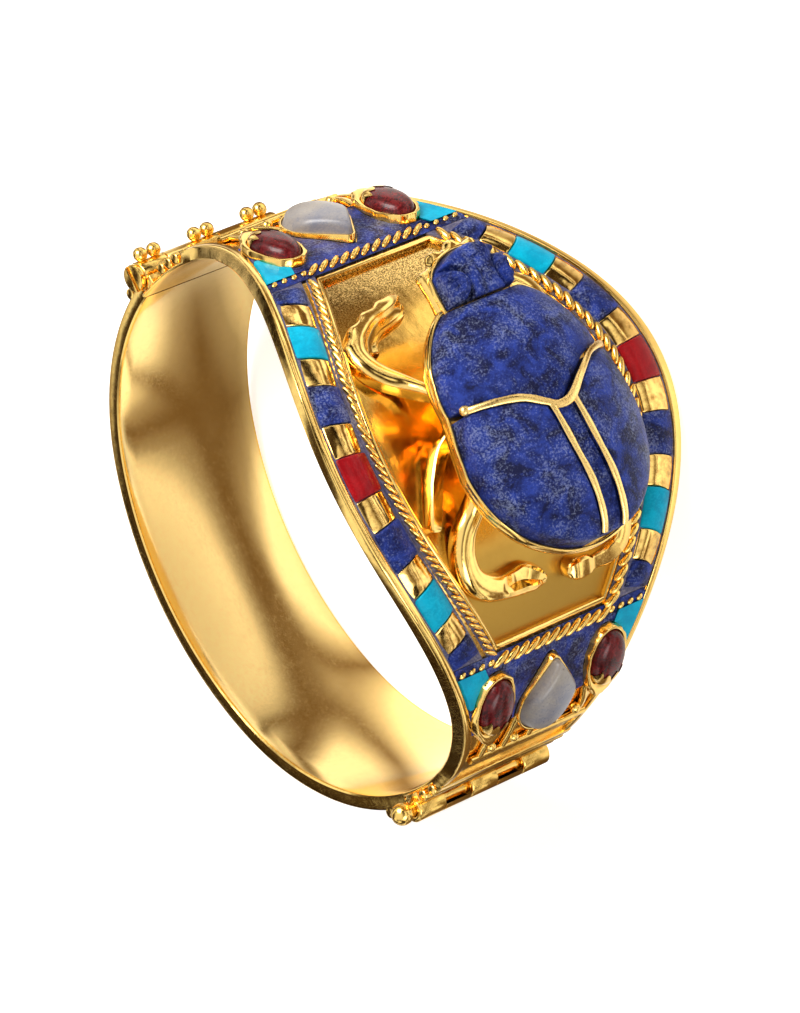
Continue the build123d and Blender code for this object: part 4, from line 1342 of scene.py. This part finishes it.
# %% The collet round the stones
collet_foot, head_collet_rise = beetle_base - 0.1, 0.7
body_line = both_sides(wing_side(0.0) + chest_side(0.0)[1:])
body_rim = wavy(inset(body_line, -collet_wall), 11)
collet = rail(body_rim, inset(body_line, 0), collet_foot, beetle_base + collet_rise, 0.15, up_place)
head_ring = both_sides(head_side(0.0, waist_y + 0.1))
head_rim = wavy(inset(head_ring, -collet_wall - 0.1), 12, 0.03)
head_collet = rail(head_rim, inset(head_ring, 0.02), collet_foot, beetle_base + head_collet_rise, 0.15,
                   head_place)
piece("beetle_collet", together([collet, head_collet]), polished_gold, slot="gold")

# %% [markdown]
# ## The beetle's stones
# Head, chest and wing cases are cut from lapis. Their tops are parts of egg-shaped domes, and their
# walls stand upright inside the collet. Each stone is drawn as an outline and a height function,
# which also holds its carving.

# %% Domes
dome_floor = beetle_base - 0.3


def dome(height, half_length, half_across, y):
    """A function that gives the height of an egg-shaped dome at each point."""
    def top(a, b):
        left = 1 - ((a - y) / half_length) ** 2 - (b / half_across) ** 2
        return dome_floor + (height + 0.3) * math.sqrt(max(left, 0.01))
    return top


wing_top = dome(6.2, 14.0, 11.3, -3.0)
chest_top = dome(5.5, 13.4, 10.8, -1.0)
head_top = dome(3.2, 6.4, 5.2, 12.2)
strip_half, seam_half = 1.1, 0.28
seam_line = np.array([(-12, 2.2), (-9.2, 2.2), (-7.4, 2.05), (-5.45, 1.55), (-2.8, 0.0), (-0.4, -1.65),
                      (1.3, -1.9), (2.5, -1.2), (4.45, 0.0), (6.4, 0.56), (7.8, 0.85), (9.3, 1.1),
                      (12, 1.1)])


def seam_y(z, shift=0.0):
    """Where the crosswise seam runs at a z; the hand that cut it wasn't quite even."""
    return np.interp(z, seam_line[:, 0], seam_line[:, 1]) + shift


def strip_middle(y):
    """The middle of the strip between the wings, which leans a little."""
    return np.interp(y, (-14.5, -13.4, -10.7, -6.2, -1.6), (-0.45, -0.6, -0.5, 0.25, 0.7))


# %% Wing cases
def wing_case(side):
    """The wing on the near side (1) or the far side (-1)."""
    inner = strip_half + 2 * seam_half
    rim = [(y, side * (z - 0.05)) for y, z in wing_side(-0.05)
           if z > side * strip_middle(y) + inner and y < seam_y(side * z, -seam_half)]
    corner = side * strip_middle(-1.6) + inner
    edge = [(seam_y(side * z, -seam_half), side * z) for z in np.linspace(9.1, corner, 9)]
    down = [(y, strip_middle(y) + side * inner) for y in np.linspace(edge[-1][0], rim[0][0] + 0.15, 20)[1:]]
    line = softened(rim + edge + down, 0.25, 0.5)
    return stone(line, up_place, wing_top, beetle_base, soft=0.55, rings=14, steps=6)


piece("near_wing_cut", wing_case(1), lapis, stands_for=["near_wing_case"], slot="lapis")
piece("far_wing_cut", wing_case(-1), lapis, stands_for=["far_wing_case"], slot="lapis")

# %% The strip between the wings
strip_sunk = 0.5
strip_ys = np.linspace(-14.6, -2.1, 24)
near_edge = [(y, strip_middle(y) + strip_half) for y in strip_ys]
far_edge = [(y, strip_middle(y) - strip_half) for y in strip_ys[::-1]]
strip_line = softened(near_edge + far_edge, 0.1, 0.5)
strip = stone(strip_line, up_place, lambda a, b: wing_top(a, b) - strip_sunk, beetle_base, soft=0.1)
piece("wing_strip_cut", strip, lapis, stands_for=["wing_strip"], slot="lapis")

# %% Chest
chest_near = [point for point in chest_side(-0.05) if point[0] > seam_y(9.2, seam_half)]
chest_far = [(y, -z) for y, z in chest_side(-0.05)[::-1] if y > seam_y(-9.2, seam_half)]
chest_edge = [(seam_y(z, seam_half), z) for z in np.linspace(-9.2, 9.2, 24)]
chest_line = softened(chest_near + [(waist_y - 0.05, 0)] + chest_far + chest_edge, 0.2, 0.5)


bevel_depth, bevel_width = 0.3, 2.2


def chest_carved(a, b):
    """The chest's top, bevelled along the seam."""
    return chest_top(a, b) - bevel_depth * max(0, 1 - (a - seam_y(b)) / bevel_width)


chest = stone(chest_line, up_place, chest_carved, beetle_base, soft=0.5, rings=24, steps=6)
piece("chest_cut", chest, lapis, stands_for=["scarab_chest"], slot="lapis")

# %% Head
head_half = [(waist_y + 0.15, 0), (waist_y + 0.15, 2.2)] + head_side(-0.05, waist_y + 0.15)
head_line = softened(both_sides(head_half), 0.15, 0.2)
eye_y, eye_z, eye_length, snout_y = 12.6, 3.6, 1.15, 15.0


def head_carved(a, b):
    """The head's top: two ringed eyes, a groove between them and ridges on the snout."""
    height = head_top(a, b)
    for side in (1, -1):
        away = math.hypot((a - eye_y) / eye_length, b - side * eye_z)
        rings = 0.22 * math.cos(8 * away) * math.exp(-(away / 1.4) ** 6)
        height += 0.6 * math.exp(-(away / 1.5) ** 8) + rings
        height -= 0.8 * math.exp(-((away - 1.8) / 0.25) ** 2)
    height -= 0.35 * math.exp(-((b - 0.3) / 0.3) ** 2) * (a < snout_y)
    snout = 1 / (1 + math.exp(-(a - snout_y) * 6))
    return height + snout * (0.3 + 0.16 * math.cos(4.0 * b))


head = stone(head_line, head_place, head_carved, beetle_base, soft=0.4, rings=30, steps=6)
piece("head_cut", head, lapis, stands_for=["scarab_head"], slot="lapis")

# %% [markdown]
# ## Gold seams
# Gold bands mark the seams between the beetle's stones. They are wires with a flattened
# cross-section, swept over the same domes.


# %% Lay the seams
def seam_wire(points, radius, flat=0.55, count=60):
    """A gold band over the beetle, through points of (y, z)."""
    line = smooth_path(points, count)
    path = []
    for y, z in line:
        over_chest = chest_top(y, z) if y > seam_y(z) - 1 else 0
        path.append((max(wing_top(y, z), over_chest) + 0.02, y, z))
    random = np.random.default_rng(int(radius * 1000) + count)
    widths = smooth_path([(w, 0) for w in radius * (1 + random.normal(0, 0.09, 14))], count)[:, 0]
    return sweep(path, (1, 0, 0), lambda k: round_section(widths[k], flat, 16))


cross = [(seam_y(z), z) for z in (9.2, 7.8, 6.4, 4.45, 2.5, 1.3, -0.4, -2.8, -5.45, -7.4, -9.3)]
seams = [seam_wire(cross, 0.4, count=90)]
for side in (1, -1):
    line = [(y, strip_middle(y) + side * (strip_half + seam_half)) for y in (-1.6, -6, -10, -13.2, -14.5)]
    seams.append(seam_wire(line, 0.36))
seams.append(bead((33.2, 1.2, 9.25), 0.55))
piece("beetle_seams", together(seams), pale_gold, slot="gold")

# %% [markdown]
# ## The legs
# Six cast legs come out from under the beetle and lie on the panel. Their carved, flattened shapes
# are sweeps along smooth curves, with a width and height that change on the way.


# %% Legs
def panel_x(y):
    """The panel's x at y."""
    return front_at(y, panel_top)[0]


notch_depth = 0.2


def leg(points, section, count=48, notches=0):
    """A leg through points of (y, z, height over the panel, half width, half height).

    Notches, if any, scallop the outer side of the leg's second half.
    """
    line = smooth_path(points, count)
    path = [(panel_x(y) + h, y, z) for y, z, h, _, _ in line]
    ups = []
    for y, *_ in line:
        turn = math.radians(front_at(y, panel_top)[1])
        ups.append((math.cos(turn), math.sin(turn), 0))

    def cross_section(k):
        share = k / (count - 1)
        bumpy = notches and share > 0.5
        outwards = 1 + (notch_depth * math.cos(2 * math.pi * (notches * share + 0.1)) if bumpy else 0)
        return [((a * outwards if a < -0.4 else a) * line[k][3], b * line[k][4]) for a, b in section(share)]

    return sweep(path, ups, cross_section)


def flat_topped(share):
    """A leg's cross-section: a flat top and upright sides."""
    return [(-1, -0.8), (-1, 0.35), (-0.9, 0.75), (-0.68, 0.97), (0, 1.0), (0.68, 0.97), (0.9, 0.75),
            (1, 0.35), (1, -0.8), (0.5, -1), (-0.5, -1)]


def scooped(share):
    """A flat top and, past the knee, a hollow on the inner side with its own rim."""
    wide = 1.75 * min(1, max(0, (share - 0.42) / 0.1))
    outer = [(-1, -0.8), (-1, 0.3), (-0.92, 0.58), (-0.75, 0.8), (-0.3, 0.98), (0.3, 1.02), (0.8, 0.95)]
    inner = [(0, 0.85), (0.12, 0.45), (0.35, 0.1), (0.62, -0.05), (0.8, 0.12), (0.93, 0.05), (1, -0.2),
             (1, -0.8)]
    return outer + [(0.95 + wide * a + 0.05 * a, b) for a, b in inner] + [(0.5, -1), (-0.5, -1)]


def hollow_ended(share):
    """A flat-topped leg whose foot is hollowed."""
    start, end = min(1, max(0, (share - 0.66) / 0.14)), min(1, max(0, (0.98 - share) / 0.08))
    depth = 1.1 * start * start * (3 - 2 * start) * math.sqrt(end)
    whole = [(-1, -0.8), (-1, 0.1), (-0.93, 0.5), (-0.8, 0.75), (-0.6, 0.92), (-0.3, 1.0), (0.1, 1.0),
             (0.4, 0.94), (0.68, 0.8), (0.88, 0.5), (1, 0.1), (1, -0.8), (0.5, -1), (-0.5, -1)]
    return [(a, b - depth * (b > 0.5 and -0.75 < a < 0.35)) for a, b in whole]


fore = leg([(3.6, 7.2, 3.4, 0.5, 0.6), (5.0, 8.15, 2.2, 0.6, 0.9), (6.4, 9.1, 1.3, 0.8, 0.95),
            (7.9, 10.4, 0.95, 0.95, 0.95), (9.4, 11.15, 0.85, 1.0, 0.95), (10.9, 11.1, 0.8, 1.0, 0.9),
            (12.15, 10.2, 0.8, 0.9, 0.9), (13.05, 8.7, 0.8, 0.78, 0.9), (13.7, 7.1, 0.8, 0.74, 0.9),
            (14.05, 5.4, 0.8, 0.74, 0.9), (14.5, 3.7, 0.75, 0.74, 0.85), (14.75, 2.5, 0.6, 0.4, 0.6)],
           scooped, count=90, notches=8)
middle = leg([(0.9, 7.0, 3.3, 0.7, 0.6), (0.0, 7.8, 2.3, 0.78, 0.65), (-1.0, 9.1, 1.4, 0.8, 0.7),
              (-3.1, 10.5, 0.85, 0.78, 0.7), (-4.9, 11.35, 0.7, 0.76, 0.65), (-7.0, 12.2, 0.6, 0.7, 0.6),
              (-7.4, 12.35, 0.5, 0.5, 0.5)], flat_topped)
hind_root = [(-5.4, 7.4, 3.4, 0.9, 0.8), (-7.2, 8.3, 2.0, 1.05, 0.9)]
hind = leg(hind_root + [(-8.6, 9.4, 1.3, 1.1, 0.95), (-10.2, 10.0, 0.95, 1.2, 0.95),
                        (-11.8, 10.0, 0.85, 1.25, 0.95), (-13.1, 9.4, 0.8, 1.35, 0.95),
                        (-14.1, 8.1, 0.8, 1.4, 0.9), (-14.6, 6.4, 0.8, 1.35, 0.9),
                        (-14.7, 4.6, 0.8, 1.5, 0.9), (-14.7, 3.2, 0.75, 1.65, 0.85),
                        (-15.1, 1.8, 0.7, 1.3, 0.8), (-15.4, 0.7, 0.6, 0.6, 0.6)], hollow_ended, count=80)
far_hind = leg(hind_root + [(-9.6, 9.6, 1.3, 1.1, 0.95), (-12.4, 9.9, 0.95, 1.1, 0.95),
                            (-14.7, 9.2, 0.9, 1.1, 0.9), (-15.6, 7.4, 0.9, 1.0, 0.95),
                            (-15.7, 5.6, 0.9, 0.8, 0.9), (-15.7, 4.9, 0.9, 0.85, 0.95),
                            (-15.7, 4.3, 0.95, 1.15, 1.1), (-15.7, 3.0, 0.95, 1.15, 1.1),
                            (-15.7, 2.3, 0.9, 0.8, 0.9), (-15.7, 2.0, 0.85, 0.4, 0.6)],
               flat_topped, count=72)
for name, near, far in (("fore_leg", fore, fore), ("middle_leg", middle, middle),
                        ("hind_leg", hind, far_hind)):
    for side, shape in (("near", near), ("far", mirrored(far, 2))):
        node_name = "%s_%s" % (side, name)
        piece(node_name + "_cast", shape, polished_gold, stands_for=[node_name], slot="gold")
print("leg faces:", {name: made["near_%s_cast" % name] for name in ("fore_leg", "middle_leg", "hind_leg")})

# %% [markdown]
# ## Floor, light and camera
# The bracelet lies on a plain pale floor in the soft light of a studio: a large window-like light
# from the upper left and a weaker one opposite. Gold looks like gold only with something dark to
# reflect. So the rays that polished metal mirrors, and no others, see more than the camera does:
# light and dark patches on the floor outside the hollow, two crossed dark strips on the floor inside
# it, light and dark patches in the sky and a darker, warmer horizon. They were placed by what the
# photographed gold mirrors. A plain floor and sky for every ray would be simpler, but polished metal
# with nothing dark to mirror looks flat.

# %% Floor
floor_mesh = bpy.data.meshes.new("floor")
floor_half = 1.5
floor_corners = [(floor_half * x, floor_half * y, 0) for x, y in ((-1, -1), (1, -1), (1, 1), (-1, 1))]
floor_mesh.from_pydata(floor_corners, [], [(0, 1, 2, 3)])
floor = bpy.data.objects.new("floor", floor_mesh)
bpy.context.scene.collection.objects.link(floor)
paper = bpy.data.materials.new("paper")
paper.use_nodes = True
tree = paper.node_tree
surface = tree.nodes["Principled BSDF"]
surface.inputs["Roughness"].default_value = 0.9
surface.inputs["Specular IOR Level"].default_value = 0.1
seen_by = node(tree, "LightPath")
spot = node(tree, "TexCoord").outputs["Object"]
patches = node(tree, "TexNoise", [("Vector", spot)], Scale=24.0, Detail=1.0).outputs["Fac"]
dark, light = (0.12, 0.075, 0.035), (0.95, 0.95, 0.93)
cards = ramp(tree, patches, [(0.45, dark), (0.55, light)])
apart = node(tree, "SeparateXYZ", [("Vector", spot)]).outputs
dark_strips = []
strip_edge = 0.0014
for slope, place, half_strip in ((0.62, 0.0118, 0.0036), (-0.64, 0.0138, 0.0026)):
    leaned = math_node(tree, "ADD", apart["X"], math_node(tree, "MULTIPLY", apart["Y"], slope))
    away = math_node(tree, "ABSOLUTE", math_node(tree, "ADD", leaned, place), 0.0)
    dark_strips.append(rising(tree, away, half_strip, half_strip + strip_edge))
stripe = mix(tree, mix(tree, 1.0, *dark_strips, kind="MULTIPLY"), dark, light)
from_middle = node(tree, "VectorMath", [(0, spot)], operation="LENGTH").outputs["Value"]
outside = rising(tree, from_middle, 0.022, 0.034)
mirrored_floor = mix(tree, outside, stripe, cards)
seen_colour = mix(tree, seen_by.outputs["Is Glossy Ray"], (0.95, 0.95, 0.95), mirrored_floor)
tree.links.new(seen_colour, surface.inputs["Base Color"])
bright = mix(tree, seen_by.outputs["Is Glossy Ray"], black, mix(tree, 0.4, black, mirrored_floor))
glow = mix(tree, seen_by.outputs["Is Camera Ray"], bright, (0.58, 0.58, 0.58))
tree.links.new(glow, surface.inputs["Emission Color"])
surface.inputs["Emission Strength"].default_value = 1.0
floor_mesh.materials.append(paper)
floor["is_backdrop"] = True


# %% Lights
def area_light(name, toward, distance, size, watts, colour=(1, 1, 1)):
    """A soft square light that looks at the bracelet from a direction."""
    lamp = bpy.data.lights.new(name, "AREA")
    lamp.size = size
    lamp.energy = watts
    lamp.color = colour
    thing = bpy.data.objects.new(name, lamp)
    bpy.context.scene.collection.objects.link(thing)
    toward = np.array(toward, float) / np.linalg.norm(toward)
    spot = toward * distance + np.array((0, 0, 0.02))
    back = toward
    right = np.cross((0, 0, 1), back)
    right /= np.linalg.norm(right)
    up = np.cross(back, right)
    axes = np.stack((right, up, back), axis=1)
    thing.matrix_world = Matrix([(*row, place) for row, place in zip(axes, spot)] + [(0, 0, 0, 1)])


area_light("key", (0.29, 0.62, 0.72), 0.5, 0.3, 3.0, (1.0, 0.98, 0.95))
area_light("fill", (0.5, -0.8, 0.45), 0.5, 0.25, 0.7)

# %% Sky
sky = bpy.data.worlds.new("studio")
bpy.context.scene.world = sky
sky.use_nodes = True
tree = sky.node_tree
direction = node(tree, "TexCoord").outputs["Generated"]
patches = node(tree, "TexNoise", [("Vector", direction)], Scale=1.7, Detail=0.0).outputs["Fac"]
boxes = ramp(tree, patches, [(0.49, (0.06, 0.04, 0.02)), (0.54, (1.2, 1.2, 1.15))])
height = node(tree, "SeparateXYZ", [("Vector", direction)]).outputs["Z"]
overhead = rising(tree, height, 0.62, 0.85)
low = ramp(tree, height, [(0.04, (0.2, 0.15, 0.08)), (0.26, white)])
mirrored_sky = mix(tree, overhead, mix(tree, 1.0, boxes, low, kind="MULTIPLY"), white)
seen_by = node(tree, "LightPath").outputs
lit = mix(tree, seen_by["Is Glossy Ray"], (0.36, 0.36, 0.36), mirrored_sky)
seen = mix(tree, seen_by["Is Camera Ray"], lit, white)
tree.links.new(seen, tree.nodes["Background"].inputs["Color"])
tree.nodes["Background"].inputs["Strength"].default_value = 1.0
bpy.context.scene.view_settings.view_transform = "Standard"

# %% Camera
camera_place = laid_down([(501.93, -41.9, 372.46)])[0]
focal_pixels, picture_height, film_height = 6350.4456, 1013, 36.0
rows = turned([(0.5186, -0.4328, -0.7374), (0.3059, 0.8993, -0.3127), (0.7984, -0.0634, 0.5988)])
lens = bpy.data.cameras.new("photo_view")
lens.sensor_width, lens.lens = film_height, focal_pixels * film_height / picture_height
lens.clip_end = 10
camera = bpy.data.objects.new("photo_view", lens)
bpy.context.scene.collection.objects.link(camera)
camera.matrix_world = Matrix([(*axis, place) for axis, place in zip(rows.T, camera_place)] + [(0, 0, 0, 1)])
bpy.context.scene.camera = camera
print("pieces made:", len(made), "with", sum(made.values()), "faces")

# %% [markdown]
# ## Sizes
# Last, the dressed bracelet's box is printed and kept beside the CAD part's, so that the two can be
# compared.

sizes = {"cad": cad_box, "dressed": [list(corner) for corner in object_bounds()]}
print("dressed box:", sizes["dressed"])
